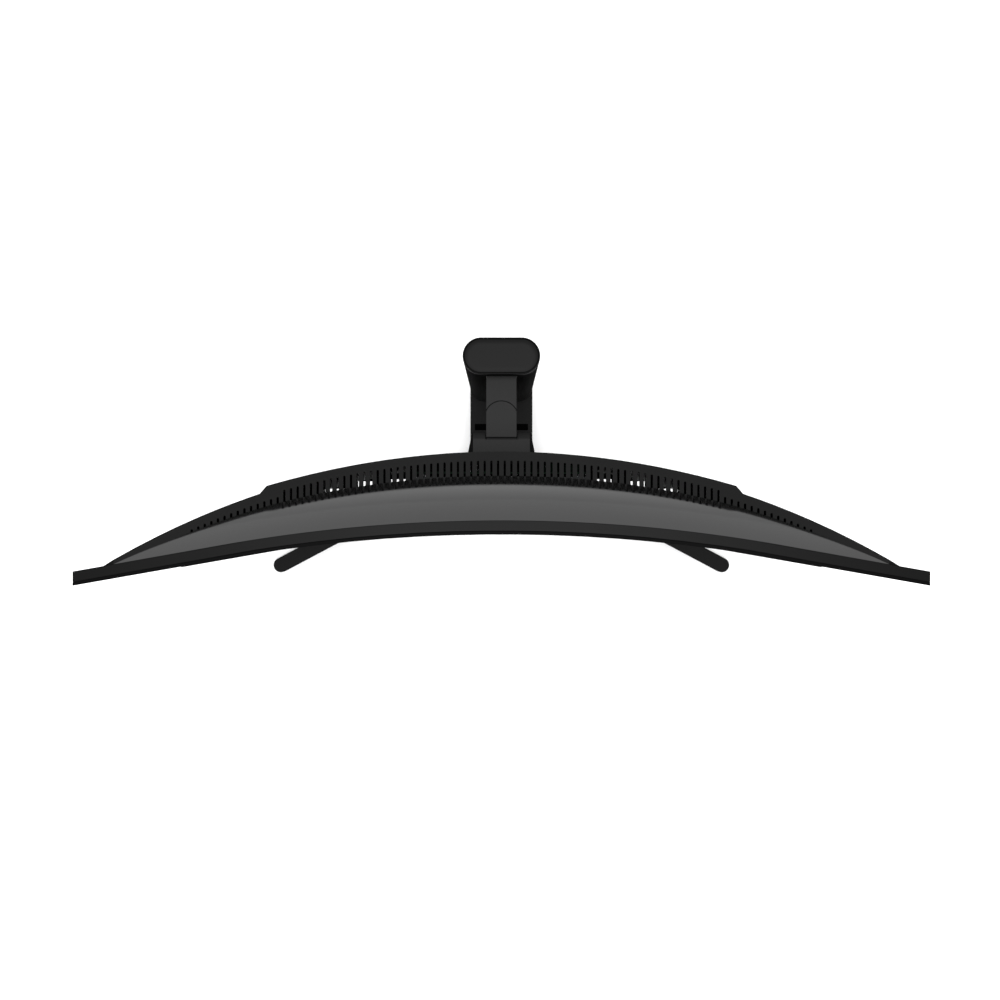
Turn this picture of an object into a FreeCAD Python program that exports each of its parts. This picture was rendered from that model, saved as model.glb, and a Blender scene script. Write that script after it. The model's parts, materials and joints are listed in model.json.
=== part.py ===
"""Curved wide computer monitor on a height, tilt and swivel stand.

Frame: millimetres, +Z up, X to the right as seen by the person at the screen, +Y to the back.
The origin is on the desk, under the middle of the whole monitor.  The screen is at the top of its lift.
"""
import FreeCAD, Part
import Sketcher
import math
import os
import re
from FreeCAD import Placement, Rotation, Vector

# Driving sizes: alias, value, meaning.
SIZES = [
    ("screen_width", 809.0, "width of the screen, end to end"),
    ("screen_height", 361.0, "height of the screen, rim to rim"),
    ("screen_top", 500.0, "height of the top rim above the desk"),
    ("screen_front", -74.95, "place of the front line in the middle of the screen"),
    ("curve_radius", 1500.0, "radius of the bowed screen"),
    ("curve_half", 262.0, "half width of the bowed stretch, straight beyond it"),
    ("strip_depth", 3.4, "depth of the dark front frame"),
    ("rim_depth", 10.0, "depth of the rim behind the front frame"),
    ("rim_wall", 2.6, "wall of the rim"),
    ("flange_half", 364.0, "half width of the opening in the rim's rear flange"),
    ("frame_lip", 1.8, "width of the front frame round the panel"),
    ("fit_gap", 0.4, "gap round the panel and other loose fits"),
    ("chin_height", 22.0, "height of the strip under the panel"),
    ("chin_proud", 2.0, "how far that strip stands in front of the panel"),
    ("panel_inset", 0.6, "how far the panel lies behind the front line"),
    ("panel_depth", 1.6, "thickness of the panel glass"),
    ("light_depth", 5.0, "thickness of the back light"),
    ("tray_depth", 1.2, "thickness of the steel tray"),
    ("cover_wall", 2.5, "wall of the back covers"),
    ("shoulder_run", 43.7, "depth of the sloping shoulder"),
    ("shoulder_drop", 56.0, "fall of the upper shoulder"),
    ("lower_drop", 40.0, "rise of the lower shoulder"),
    ("shoulder_radius", 150.0, "crown of the shoulders"),
    ("shoulder_lap", 4.0, "how far the rear cover runs under a shoulder"),
    ("vent_radius", 1120.0, "sag of the vent face, seen from the front"),
    ("vent_bend_half", 262.0, "half width of the sagging stretch, straight beyond it"),
    ("belly_half", 372.0, "half width of the raised bottom face"),
    ("tier_rear", 4.6, "rear of the wide tier in the middle"),
    ("tier_radius", 700.0, "plan radius of the wide tier"),
    ("block_rear", 6.35, "rear of the middle block"),
    ("block_radius", 771.0, "plan radius of the middle block"),
    ("block_half", 235.0, "half width of the middle block at its root"),
    ("block_slant", 6.0, "slant of the ends of the middle block"),
    ("slot_pitch", 6.655, "spacing of the vent slots in the middle"),
    ("slot_closing", 0.041, "share by which the row of slots closes up at its ends"),
    ("slot_width", 2.2, "width of a vent slot"),
    ("slot_count", 94.0, "number of vent slots in the row"),
    ("slot_margin", 8.9, "solid strip behind the slots"),
    ("long_slot_half", 214.0, "half width of the stretch with long slots"),
    ("belly_vent", 24.0, "width of a bottom vent"),
    ("belly_vent_place", 125.7, "place of the first bottom vent"),
    ("belly_vent_pitch", 42.0, "spacing of the bottom vents"),
    ("belly_strip_first", 10.3, "solid strip behind the first bottom vent"),
    ("belly_strip_second", 4.7, "solid strip behind the second bottom vent"),
    ("belly_strip_third", 3.4, "solid strip behind the third bottom vent"),
    ("pan_half", 90.0, "half width of the steel pan"),
    ("pan_rise", 19.0, "height of the steel pan above the bottom face"),
    ("pan_fall", 75.0, "distance from the top rim down to the steel pan"),
    ("pan_rear", -18.5, "rear of the steel pan"),
    ("pan_wall", 1.2, "sheet of the steel pan"),
    ("board_gap", 3.5, "height of the board standoffs"),
    ("board_depth", 1.6, "thickness of the circuit boards"),
    ("vesa_spacing", 100.0, "spacing of the wall bracket holes"),
    ("vesa_hole", 2.0, "radius of a wall bracket hole"),
    ("vesa_hole_depth", 10.0, "depth of a wall bracket hole"),
    ("vesa_half", 62.0, "half size of the mounting plate"),
    ("vesa_face", 1.0, "place of the mounting face"),
    ("vesa_plate_depth", 3.0, "thickness of the mounting plate"),
    ("tilt_y", 27.0, "place of the tilt axis"),
    ("tilt_z", 283.0, "height of the tilt axis"),
    ("barrel_radius", 10.7, "radius of the hinge barrel"),
    ("block_width", 65.0, "width of the hinge block"),
    ("knuckle_radius", 8.5, "radius of the knuckle in the hinge block"),
    ("shaft_radius", 4.0, "radius of the tilt shaft"),
    ("run_gap", 0.08, "running clearance of shafts"),
    ("head_plate_depth", 3.0, "thickness of the stand's head plate"),
    ("neck_low", 252.0, "underside of the neck"),
    ("neck_rear", 35.5, "rear of the neck"),
    ("neck_wall", 6.0, "floor of the neck"),
    ("arm_width", 34.6, "width of the arm"),
    ("arm_top", 296.0, "height of the top of the arm"),
    ("arm_low", 258.0, "height of the underside of the arm"),
    ("swivel_y", 52.55, "place of the swivel axis"),
    ("swivel_split", 275.0, "height where the tongue turns on the arm"),
    ("tongue_radius", 18.7, "radius of the round end of the tongue"),
    ("tongue_front", 30.6, "front end of the tongue"),
    ("swivel_pin", 6.0, "radius of the swivel pin"),
    ("stop_half", 30.5, "half length of the stop bar"),
    ("lift_travel", 100.0, "travel of the lift"),
    ("column_width", 86.9, "width of the column"),
    ("column_depth", 41.4, "depth of the column"),
    ("column_y", 119.95, "place of the middle of the column"),
    ("column_top", 316.2, "height of the column"),
    ("column_wall", 2.5, "wall of the column"),
    ("cap_height", 5.0, "height of the column cap"),
    ("rail_half", 27.0, "half width of the lift rail"),
    ("rail_wall", 2.5, "wall of the lift rail"),
    ("spring_radius", 9.0, "radius of the gas spring"),
    ("rod_radius", 4.0, "radius of the rod of the gas spring"),
    ("base_top", 12.0, "height of the base plate and legs"),
    ("pad_height", 1.5, "height of the rubber feet"),
    ("leg_width", 20.4, "width of a leg"),
    ("leg_apex", 33.95, "where the middle lines of the legs meet"),
    ("leg_reach_x", 309.7, "sideways place of the round leg end"),
    ("leg_reach_y", -130.45, "forward place of the round leg end"),
    ("tenon_height", 4.0, "height of the leg tenon under the base plate"),
    ("plate_front", 4.0, "front edge of the base plate"),
    ("joystick_y", -6.0, "place of the menu joystick"),
]
ALIASES = {name for name, _, _ in SIZES}

doc = FreeCAD.newDocument("monitor")
dim = doc.addObject("Spreadsheet::Sheet", "dim")
for row, (alias, number, meaning) in enumerate(SIZES, start=1):
    dim.set(f"A{row}", meaning)
    dim.set(f"B{row}", str(number))
    dim.setAlias(f"B{row}", alias)
doc.recompute()

pieces = {}


# ---------------------------------------------------------------- helpers
def bound(text):
    """An expression with each size name tied to the sheet."""
    return re.sub(r"[a-z]+[a-z_]*", lambda m: "dim." + m.group() if m.group() in ALIASES else m.group(),
                  str(text))


def size(text):
    """The number that an expression over the sizes gives."""
    result = dim.evalExpression(bound(text))
    return float(getattr(result, "Value", result))


def bind(thing, prop, text):
    thing.setExpression(prop, bound(text))


def place(thing, x, y, z):
    for letter, text in zip("xyz", (x, y, z)):
        bind(thing, f"Placement.Base.{letter}", text)
    return thing


def keep(label, thing):
    """Name a finished piece of the monitor."""
    thing.Label = label
    pieces[label] = thing
    return thing


def block(x, y, z):
    """A box between two expressions along each axis."""
    solid = doc.addObject("Part::Box", "block")
    for prop, (low, high) in zip(("Length", "Width", "Height"), (x, y, z)):
        bind(solid, prop, f"({high}) - ({low})")
    return place(solid, x[0], y[0], z[0])


def wide_block(half, y, z):
    """A box that is the same on both sides of the middle."""
    return block((f"-({half})", half), y, z)


def rod(radius, length, x, y, z, axis="z"):
    """A cylinder that starts at a point and runs along an axis."""
    solid = doc.addObject("Part::Cylinder", "rod")
    bind(solid, "Radius", radius)
    bind(solid, "Height", length)
    turns = {"x": Rotation(Vector(0, 1, 0), 90), "y": Rotation(Vector(1, 0, 0), -90), "z": Rotation()}
    solid.Placement = Placement(Vector(), turns[axis])
    return place(solid, x, y, z)


def fuse(*shapes):
    joined = doc.addObject("Part::MultiFuse", "fuse")
    joined.Shapes = list(shapes)
    joined.Refine = True
    return joined


def group(*shapes):
    """Several separate solids kept in one piece."""
    together = doc.addObject("Part::Compound", "group")
    together.Links = list(shapes)
    return together


def cut(base, *tools):
    result = doc.addObject("Part::Cut", "cut")
    result.Base = base
    result.Tool = tools[0] if len(tools) == 1 else fuse(*tools)
    return result


def common(first, second):
    result = doc.addObject("Part::Common", "common")
    result.Base = first
    result.Tool = second
    return result


def origin_plane(body, role):
    return next(plane for plane in body.Origin.OriginFeatures if plane.Role == role)


def outline(body, role, corners, arcs=None, lift="0"):
    """A closed sketch on an origin plane: corners are pairs of expressions.

    arcs maps the number of an edge to its radius; a negative radius bows to the right of the edge."""
    arcs = arcs or {}
    sketch = body.newObject("Sketcher::SketchObject", "outline")
    sketch.AttachmentSupport = (origin_plane(body, role), [""])
    sketch.MapMode = "FlatFace"
    bind(sketch, "AttachmentOffset.Base.z", lift)
    points = [Vector(size(u), size(v), 0) for u, v in corners]
    ends = []
    for index, start in enumerate(points):
        finish = points[(index + 1) % len(points)]
        if index not in arcs:
            edge = sketch.addGeometry(Part.LineSegment(start, finish))
            ends.append((edge, 1, 2))
            continue
        radius = size(arcs[index])
        chord = finish - start
        left = Vector(-chord.y, chord.x, 0).normalize()
        sagitta = abs(radius) - math.sqrt(radius ** 2 - (chord.Length / 2) ** 2)
        middle = (start + finish) * 0.5 + left * math.copysign(sagitta, radius)
        edge = sketch.addGeometry(Part.Arc(start, middle, finish))
        ends.append((edge, 2, 1) if radius > 0 else (edge, 1, 2))
        limit = sketch.addConstraint(Sketcher.Constraint("Radius", edge, abs(radius)))
        sketch.setExpression(f"Constraints[{limit}]", bound(f"abs({arcs[index]})"))
    for index, (edge, first, _) in enumerate(ends):
        last_edge, _, last = ends[index - 1]
        sketch.addConstraint(Sketcher.Constraint("Coincident", last_edge, last, edge, first))
        for kind, text, number in (("DistanceX", corners[index][0], points[index].x),
                                   ("DistanceY", corners[index][1], points[index].y)):
            limit = sketch.addConstraint(Sketcher.Constraint(kind, edge, first, number))
            sketch.setExpression(f"Constraints[{limit}]", bound(text))
    return sketch


def pad(body, sketch, length, midplane=False):
    feature = body.newObject("PartDesign::Pad", "pad")
    feature.Profile = sketch
    feature.Midplane = midplane
    bind(feature, "Length", length)
    sketch.Visibility = False
    return feature


def new_body():
    return doc.addObject("PartDesign::Body", "body")


def prism(role, corners, low, high, arcs=None):
    """A straight-sided solid on the XY plane between two heights."""
    body = new_body()
    pad(body, outline(body, role, corners, arcs, low), f"({high}) - ({low})")
    return body


# ---------------------------------------------------------------- the bowed screen
TURN = "asin(curve_half / curve_radius)"


def bow_point(depth):
    """Where the bowed stretch ends, a depth behind the front line."""
    return f"(curve_half * (1 + ({depth}) / curve_radius))", \
           f"(screen_front - curve_radius + (curve_radius + ({depth})) * cos({TURN}))"


def wing_point(depth, half):
    """The end of the straight stretch, a depth behind the front line."""
    x, y = bow_point(depth)
    return f"({half})", f"({y} - (({half}) - {x}) * tan({TURN}))"


def bowed_band(front, rear, half, low, high):
    """A slab that follows the screen, between two depths behind the front line."""
    (fx, fy), (fwx, fwy) = bow_point(front), wing_point(front, half)
    (rx, ry), (rwx, rwy) = bow_point(rear), wing_point(rear, half)
    corners = [(f"-{fwx}", fwy), (f"-{fx}", fy), (fx, fy), (fwx, fwy),
               (rwx, rwy), (rx, ry), (f"-{rx}", ry), (f"-{rwx}", rwy)]
    arcs = {1: f"curve_radius + ({front})", 5: f"-(curve_radius + ({rear}))"}
    return prism("XY_Plane", corners, low, high, arcs)


def swept(corners, arcs):
    """A section carried along the whole front line; corners are (depth, height)."""
    body = new_body()
    section = outline(body, "YZ_Plane", [(f"screen_front + ({d})", z) for d, z in corners], arcs)
    path = body.newObject("Sketcher::SketchObject", "path")
    path.AttachmentSupport = (origin_plane(body, "XY_Plane"), [""])
    path.MapMode = "FlatFace"
    bx, by = bow_point("0")
    wx, wy = wing_point("0", "screen_width / 2 + 40")
    start = Vector(0, size("screen_front"), 0)
    bend = Vector(size(bx), size(by), 0)
    tip = Vector(size(wx), size(wy), 0)
    centre = Vector(0, size("screen_front - curve_radius"), 0)
    radius = size("curve_radius")
    middle = centre + ((start + bend) * 0.5 - centre).normalize() * radius
    bow = path.addGeometry(Part.Arc(start, middle, bend))
    wing = path.addGeometry(Part.LineSegment(bend, tip))
    path.addConstraint(Sketcher.Constraint("Coincident", bow, 1, wing, 1))
    limit = path.addConstraint(Sketcher.Constraint("Radius", bow, radius))
    path.setExpression(f"Constraints[{limit}]", bound("curve_radius"))
    for edge, spot, x, y in ((bow, 2, "0", "screen_front"), (wing, 1, bx, by), (wing, 2, wx, wy)):
        for kind, text in (("DistanceX", x), ("DistanceY", y)):
            limit = path.addConstraint(Sketcher.Constraint(kind, edge, spot, size(text)))
            path.setExpression(f"Constraints[{limit}]", bound(text))
    doc.recompute()
    pipe = body.newObject("PartDesign::AdditivePipe", "pipe")
    pipe.Profile = section
    pipe.Spine = path
    doc.recompute()
    mirror = body.newObject("PartDesign::Mirrored", "mirror")
    mirror.Originals = [pipe]
    mirror.MirrorPlane = (origin_plane(body, "YZ_Plane"), [""])
    body.Tip = mirror
    return body


SCREEN_LOW = "(screen_top - screen_height)"
PANEL_LOW = f"({SCREEN_LOW} + chin_height)"
HALF = "(screen_width / 2)"
RIM_REAR = "(strip_depth + rim_depth)"
INNER_HALF = f"({HALF} - rim_wall - fit_gap)"


def make_panel_stack():
    """Glass panel, back light, steel tray and the light bar under them."""
    half = f"({HALF} - frame_lip - fit_gap)"
    high = "(screen_top - frame_lip - fit_gap)"
    glass_rear = "(panel_inset + panel_depth)"
    keep("lcd_panel", bowed_band("panel_inset", glass_rear, half, f"{PANEL_LOW} + fit_gap", high))
    inner_high = "screen_top - rim_wall - fit_gap"
    light_rear = f"({glass_rear} + light_depth)"
    keep("backlight_unit",
         bowed_band(glass_rear, light_rear, INNER_HALF, f"{PANEL_LOW} + fit_gap", inner_high))
    keep("panel_tray", bowed_band(light_rear, f"{light_rear} + tray_depth", INNER_HALF,
                                  f"{PANEL_LOW} + fit_gap", inner_high))
    keep("led_bar", bowed_band("strip_depth + fit_gap", light_rear, f"{INNER_HALF} - 4",
                               f"{PANEL_LOW} - 6", f"{PANEL_LOW}"))


def make_frames():
    """Front frame, rim and the strip under the panel."""
    window = bowed_band("-5", "strip_depth + 5", f"{HALF} - frame_lip", f"{PANEL_LOW} - 5",
                        "screen_top - frame_lip")
    keep("front_frame", cut(bowed_band("0", "strip_depth", HALF, PANEL_LOW, "screen_top"), window))
    rim_window = bowed_band("strip_depth - 5", f"{RIM_REAR} - 1.8", f"{HALF} - rim_wall",
                            f"{SCREEN_LOW} + rim_wall", "screen_top - rim_wall")
    rear_window = bowed_band("strip_depth", f"{RIM_REAR} + 5", "flange_half",
                             f"{SCREEN_LOW} + rim_wall", "screen_top - rim_wall")
    keep("rim_frame", cut(bowed_band("strip_depth", RIM_REAR, HALF, SCREEN_LOW, "screen_top"),
                          rim_window, rear_window))
    hollow = bowed_band("-chin_proud + cover_wall", "strip_depth + 1", f"{HALF} - cover_wall",
                        f"{SCREEN_LOW} + cover_wall", f"{PANEL_LOW} - cover_wall")
    chin = cut(bowed_band("-chin_proud", "strip_depth", HALF, SCREEN_LOW, PANEL_LOW), hollow,
               rod("1.1", "12", "0", "screen_front - 8", f"{SCREEN_LOW} + 6", "y"))
    keep("chin_strip", chin)
    keep("status_light",
         rod("1", "chin_proud + 2", "0", "screen_front - chin_proud + 0.3", f"{SCREEN_LOW} + 6", "y"))


# ---------------------------------------------------------------- back covers
VENT_MIDDLE = "(screen_top - shoulder_drop)"
VENT_FLAT = "sqrt(vent_radius ^ 2 - vent_bend_half ^ 2)"
VENT_BEND_DROP = f"(shoulder_drop - vent_radius + {VENT_FLAT})"
VENT_TOP_HALF = f"(vent_bend_half + {VENT_BEND_DROP} * {VENT_FLAT} / vent_bend_half)"
BELLY_RADIUS = "((belly_half ^ 2 + lower_drop ^ 2) / (2 * lower_drop))"
REAR_END = "(shoulder_run + strip_depth + rim_depth)"


def crown(drop):
    """Middle of a shoulder's arc: how far in front of the rim's rear edge, and how far from the rim."""
    half_chord = f"(sqrt(shoulder_run ^ 2 + ({drop}) ^ 2) / 2)"
    reach = f"(sqrt(shoulder_radius ^ 2 - {half_chord} ^ 2) / (2 * {half_chord}))"
    return f"({REAR_END} - shoulder_run / 2 - ({drop}) * {reach})", \
           f"(({drop}) / 2 + shoulder_run * {reach})"


def arc_depth(drop, inset, fall):
    """Depth of the shoulder's surface, offset inwards, at a distance from the rim's edge."""
    depth, away = crown(drop)
    return f"({depth} + sqrt((shoulder_radius - ({inset})) ^ 2 - ({away} - ({fall})) ^ 2))"


def arc_fall(drop, inset, deep):
    """Distance from the rim's edge of the shoulder's surface, offset inwards, at a depth."""
    depth, away = crown(drop)
    return f"({away} - sqrt((shoulder_radius - ({inset})) ^ 2 - (({deep}) - {depth}) ^ 2))"


def shoulder(drop, height):
    """The crowned shell from the rim to the vent face; height turns a fall into a height."""
    outer, inner = "shoulder_radius", "shoulder_radius - cover_wall"
    inner_start = arc_fall(drop, "cover_wall", RIM_REAR)
    inner_end = arc_depth(drop, "cover_wall", drop)
    corners = [(RIM_REAR, height("0")), (REAR_END, height(drop)), (inner_end, height(drop)),
               (RIM_REAR, height(inner_start))]
    return corners, {0: outer, 2: inner}


def lap_section(drop, height):
    """What is taken out of the rear cover under a shoulder."""
    inset = "cover_wall + shoulder_lap"
    low = f"({drop}) + cover_wall + 1"
    corners = [(f"{RIM_REAR} - 2", height(arc_fall(drop, inset, f"{RIM_REAR} - 2"))),
               (arc_depth(drop, inset, low), height(low)), (f"{RIM_REAR} - 2", height(low))]
    return corners, {0: f"shoulder_radius - ({inset})"}


def from_top(fall):
    return f"(screen_top - ({fall}))"


def from_bottom(rise):
    return f"({SCREEN_LOW} + ({rise}))"


def turned(corners, arcs, flip):
    """Arc signs for a section that is mirrored top to bottom."""
    signs = {0: ("-" if flip else "", ""), 2: ("" if flip else "-", "")}
    return corners, {edge: f"{signs[edge][0]}({radius})" for edge, radius in arcs.items()}


def housing_face(inset):
    """The region between the bottom face and the vent face, seen from the front, as a deep slab."""
    body = new_body()
    top_half, top = VENT_TOP_HALF, f"(screen_top - ({inset}))"
    low_half, low = "belly_half", f"({SCREEN_LOW} + ({inset}))"
    side, bend = f"({HALF} + 80)", f"({top} - {VENT_BEND_DROP})"
    corners = [(f"-{side}", top), (f"-{side}", low), (f"-{low_half}", low), (low_half, low),
               (side, low), (side, top), (top_half, top), ("vent_bend_half", bend),
               ("-vent_bend_half", bend), (f"-{top_half}", top)]
    sketch = outline(body, "XZ_Plane", corners, {2: BELLY_RADIUS, 7: "vent_radius"})
    pad(body, sketch, "400", midplane=True)
    return body


def housing_plan(inset, front):
    """The back covers seen from above: the wide tier and the middle block behind the rim."""
    low, high = f"{SCREEN_LOW} - 5", "screen_top + 5"
    tall = f"({high}) - ({low})"
    tier = rod(f"tier_radius - ({inset})", tall, "0", "tier_rear - tier_radius", low)
    arch = rod(f"block_radius - ({inset})", tall, "0", "block_rear - block_radius", low)
    root = f"(block_half - ({inset}))"
    root_y = "(tier_rear - tier_radius + sqrt(tier_radius ^ 2 - block_half ^ 2))"
    ends = prism("XY_Plane", [(f"-({root} + 50)", f"{root_y} - 50 * block_slant / 5"),
                              (f"{root} + 50", f"{root_y} - 50 * block_slant / 5"),
                              (f"{root} - 50", f"{root_y} + 50 * block_slant / 5"),
                              (f"-({root} - 50)", f"{root_y} + 50 * block_slant / 5")], low, high)
    return common(bowed_band(front, "160", HALF, low, high), fuse(tier, common(arch, ends)))


def vent_height(x):
    """Height of the vent face above the desk, at a place across the screen."""
    radius, bend = size("vent_radius"), size("vent_bend_half")
    if abs(x) <= bend:
        return size(VENT_MIDDLE) + radius - math.sqrt(radius ** 2 - x ** 2)
    return size(f"screen_top - {VENT_BEND_DROP}") + (abs(x) - bend) * bend / size(VENT_FLAT)


def front_line(x, depth):
    """Y of the line that runs a depth behind the front line."""
    radius = size("curve_radius") + depth
    turn = math.asin(size("curve_half / curve_radius"))
    bend = radius * math.sin(turn)
    centre = size("screen_front - curve_radius")
    if abs(x) <= bend:
        return centre + math.sqrt(radius ** 2 - x ** 2)
    return centre + radius * math.cos(turn) - (abs(x) - bend) * math.tan(turn)


def rear_line(x):
    """Y of the rear edge that the vents keep clear of."""
    tier = size("tier_rear - tier_radius") + math.sqrt(size("tier_radius") ** 2 - x ** 2)
    arch = size("block_rear - block_radius") + math.sqrt(size("block_radius") ** 2 - x ** 2)
    return arch if abs(x) < size("long_slot_half") else tier


def vent_cutters():
    """One upright cutter for each vent slot: square under the shoulder, round at the rear."""
    width, wall, pitch = size("slot_width"), size("cover_wall"), size("slot_pitch")
    closing = size("slot_closing")
    count = int(size("slot_count"))
    away = float(size(crown("shoulder_drop")[1]))
    deep = float(size(crown("shoulder_drop")[0]))
    cutters = []
    for number in range(count):
        step = number - (count - 1) / 2
        x = step * pitch * (1 - closing * (2 * step / (count - 1)) ** 2)
        height = vent_height(x)
        reach = math.sqrt(size("shoulder_radius") ** 2 - (away - (size("screen_top") - height)) ** 2)
        front = front_line(x, deep + reach) - size("fit_gap")
        rear = rear_line(x) - size("slot_margin") - width / 2
        low, tall = height - 3 * wall, 5 * wall
        slot = Part.makeBox(width, rear - front, tall, Vector(x - width / 2, front, low))
        end = Part.makeCylinder(width / 2, tall, Vector(x, rear, low))
        cutters.append(slot.fuse(end))
    feature = doc.addObject("Part::Feature", "vent_cutters")
    feature.Shape = Part.makeCompound(cutters)
    return feature


def belly_cutters():
    """Three bottom vents on each side, between the lower shoulder and the rear edge."""
    cutters = []
    wide, low = size("belly_vent"), size(SCREEN_LOW) - 5
    strips = ("belly_strip_first", "belly_strip_second", "belly_strip_third")
    for side in (-1, 1):
        for number, strip in enumerate(strips):
            x = side * (size("belly_vent_place") + number * size("belly_vent_pitch"))
            front, rear = front_line(x, size(REAR_END)) + 1, rear_line(x) - size(strip)
            box = Part.makeBox(wide, rear - front, size("lower_drop") + 20,
                               Vector(x - wide / 2, front, low))
            cutters.append(box)
    feature = doc.addObject("Part::Feature", "belly_cutters")
    feature.Shape = Part.makeCompound(cutters)
    return feature


MIDDLE_Z = "tilt_z"
BELLY = f"({SCREEN_LOW} + lower_drop)"
PAN_LOW = f"({BELLY} + pan_rise)"
PAN_HIGH = "(screen_top - pan_fall)"
PORT_Y = "joystick_y"
PORT_FLOOR = f"({BELLY} + cover_wall + 0.2)"
HDMI_PLACES = ("-86", "-67")
DISPLAY_PLACE = "-46.5"
AUDIO_PLACE = "-31"
POWER_PLACE = "40"


def make_covers():
    """Upper and lower shoulders and the rear cover with its vents and openings."""
    face = housing_face("0")
    keep("upper_back_cover", cut(swept(*turned(*shoulder("shoulder_drop", from_top), False)), face))
    keep("lower_back_cover", cut(swept(*turned(*shoulder("lower_drop", from_bottom), True)), face))
    inner_face = housing_face("cover_wall")
    solid = common(housing_face("0"), housing_plan("0", RIM_REAR))
    hollow = common(inner_face, housing_plan("cover_wall", f"{RIM_REAR} - 8"))
    upper_lap = cut(swept(*turned(*lap_section("shoulder_drop", from_top), False)),
                    housing_face("cover_wall"))
    lower_lap = cut(swept(*turned(*lap_section("lower_drop", from_bottom), True)),
                    housing_face("cover_wall"))
    window = wide_block("vesa_half", ("vesa_face - 12", "block_rear + 5"),
                        (f"{MIDDLE_Z} - vesa_half", f"{MIDDLE_Z} + vesa_half"))
    port_window = block(("-97", "-24"), (f"{PORT_Y} - 5.5", f"{PORT_Y} + 5"),
                        (f"{BELLY} - 8", f"{BELLY} + 6"))
    power_hole = rod("5.5", "14", POWER_PLACE, PORT_Y, f"{BELLY} - 8")
    joystick_hole = rod("6.2", "14", "0", PORT_Y, f"{BELLY} - 8")
    lock_slot = block(("150", "157"), ("-30", "5"), (f"{BELLY} + 30", f"{BELLY} + 33"))
    keep("rear_cover", cut(cut(solid, hollow, upper_lap, lower_lap), window, port_window, power_hole,
                           joystick_hole, lock_slot, vent_cutters(), belly_cutters()))


# ---------------------------------------------------------------- inside the screen
def make_insides():
    """Steel pan, boards, sockets and the wall bracket plate."""
    pan = wide_block("pan_half", ("screen_front - 15", "pan_rear"), (PAN_LOW, PAN_HIGH))
    pan_hollow = wide_block("pan_half - pan_wall", ("screen_front - 20", "pan_rear - pan_wall"),
                            (f"{PAN_LOW} + pan_wall", f"{PAN_HIGH} - pan_wall"))
    stack_rear = "panel_inset + panel_depth + light_depth + tray_depth"
    keep("chassis_pan", cut(pan, pan_hollow, bowed_band("-40", stack_rear, f"{HALF} - 20", f"{PAN_LOW} - 5",
                                                        f"{PAN_HIGH} + 5")))
    board_front = "(pan_rear + board_gap)"
    board_rear = "(pan_rear + board_gap + board_depth)"
    board_low, board_high = f"({PAN_HIGH} - 73)", f"({PAN_HIGH} - 7)"
    board_in, board_out = "8", "(pan_half - 3)"
    posts = [rod("2.5", "board_gap", f"{side}({across})", "pan_rear", up, "y")
             for side in ("-", "") for across in (f"{board_in} + 6", f"{board_out} - 6")
             for up in (f"{board_low} + 13", f"{board_high} - 13")]
    keep("board_standoffs", group(*posts))
    main = [block((f"-{board_out}", f"-{board_in}"), (board_front, board_rear), (board_low, board_high))]
    for x, up, wide, tall in (("-74", "18", "24", "24"), ("-44", "10", "10", "14"),
                              ("-30", "40", "14", "8")):
        main.append(block((x, f"{x} + {wide}"), (board_rear, f"{board_rear} + 2"),
                          (f"{board_low} + {up}", f"{board_low} + {up} + {tall}")))
    keep("main_board", fuse(*main))
    power = [block((board_in, board_out), (board_front, board_rear), (board_low, board_high)),
             block(("66", "82"), (board_rear, f"{board_rear} + 8"),
                   (f"{board_low} + 20", f"{board_low} + 40"))]
    for x, up in (("30", "20"), ("46", "20"), ("54", "48")):
        power.append(rod("5", "9", x, board_rear, f"{board_low} + {up}", "y"))
    keep("power_board", fuse(*power))
    holes, bosses = [], []
    for x in ("-vesa_spacing / 2", "vesa_spacing / 2"):
        for z in (f"{MIDDLE_Z} - vesa_spacing / 2", f"{MIDDLE_Z} + vesa_spacing / 2"):
            bosses.append(rod("5", "vesa_hole_depth + 1.5 - vesa_plate_depth", x,
                              "vesa_face - vesa_hole_depth - 1.5", z, "y"))
            holes.append(rod("vesa_hole", "vesa_hole_depth + 2", x, "vesa_face - vesa_hole_depth", z, "y"))
    plate = wide_block("vesa_half - 0.3", ("vesa_face - vesa_plate_depth", "vesa_face"),
                       (f"{MIDDLE_Z} - vesa_half + 0.3", f"{MIDDLE_Z} + vesa_half - 0.3"))
    keep("vesa_plate", cut(fuse(plate, *bosses), *holes))
    cross = []
    for x in ("-30", "30"):
        for z in (f"{MIDDLE_Z} + vesa_half - 15", f"{MIDDLE_Z} - vesa_half + 15"):
            cross.append(rod("4", "vesa_face - vesa_plate_depth - pan_rear", x, "pan_rear", z, "y"))
    keep("plate_posts", group(*cross))


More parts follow.
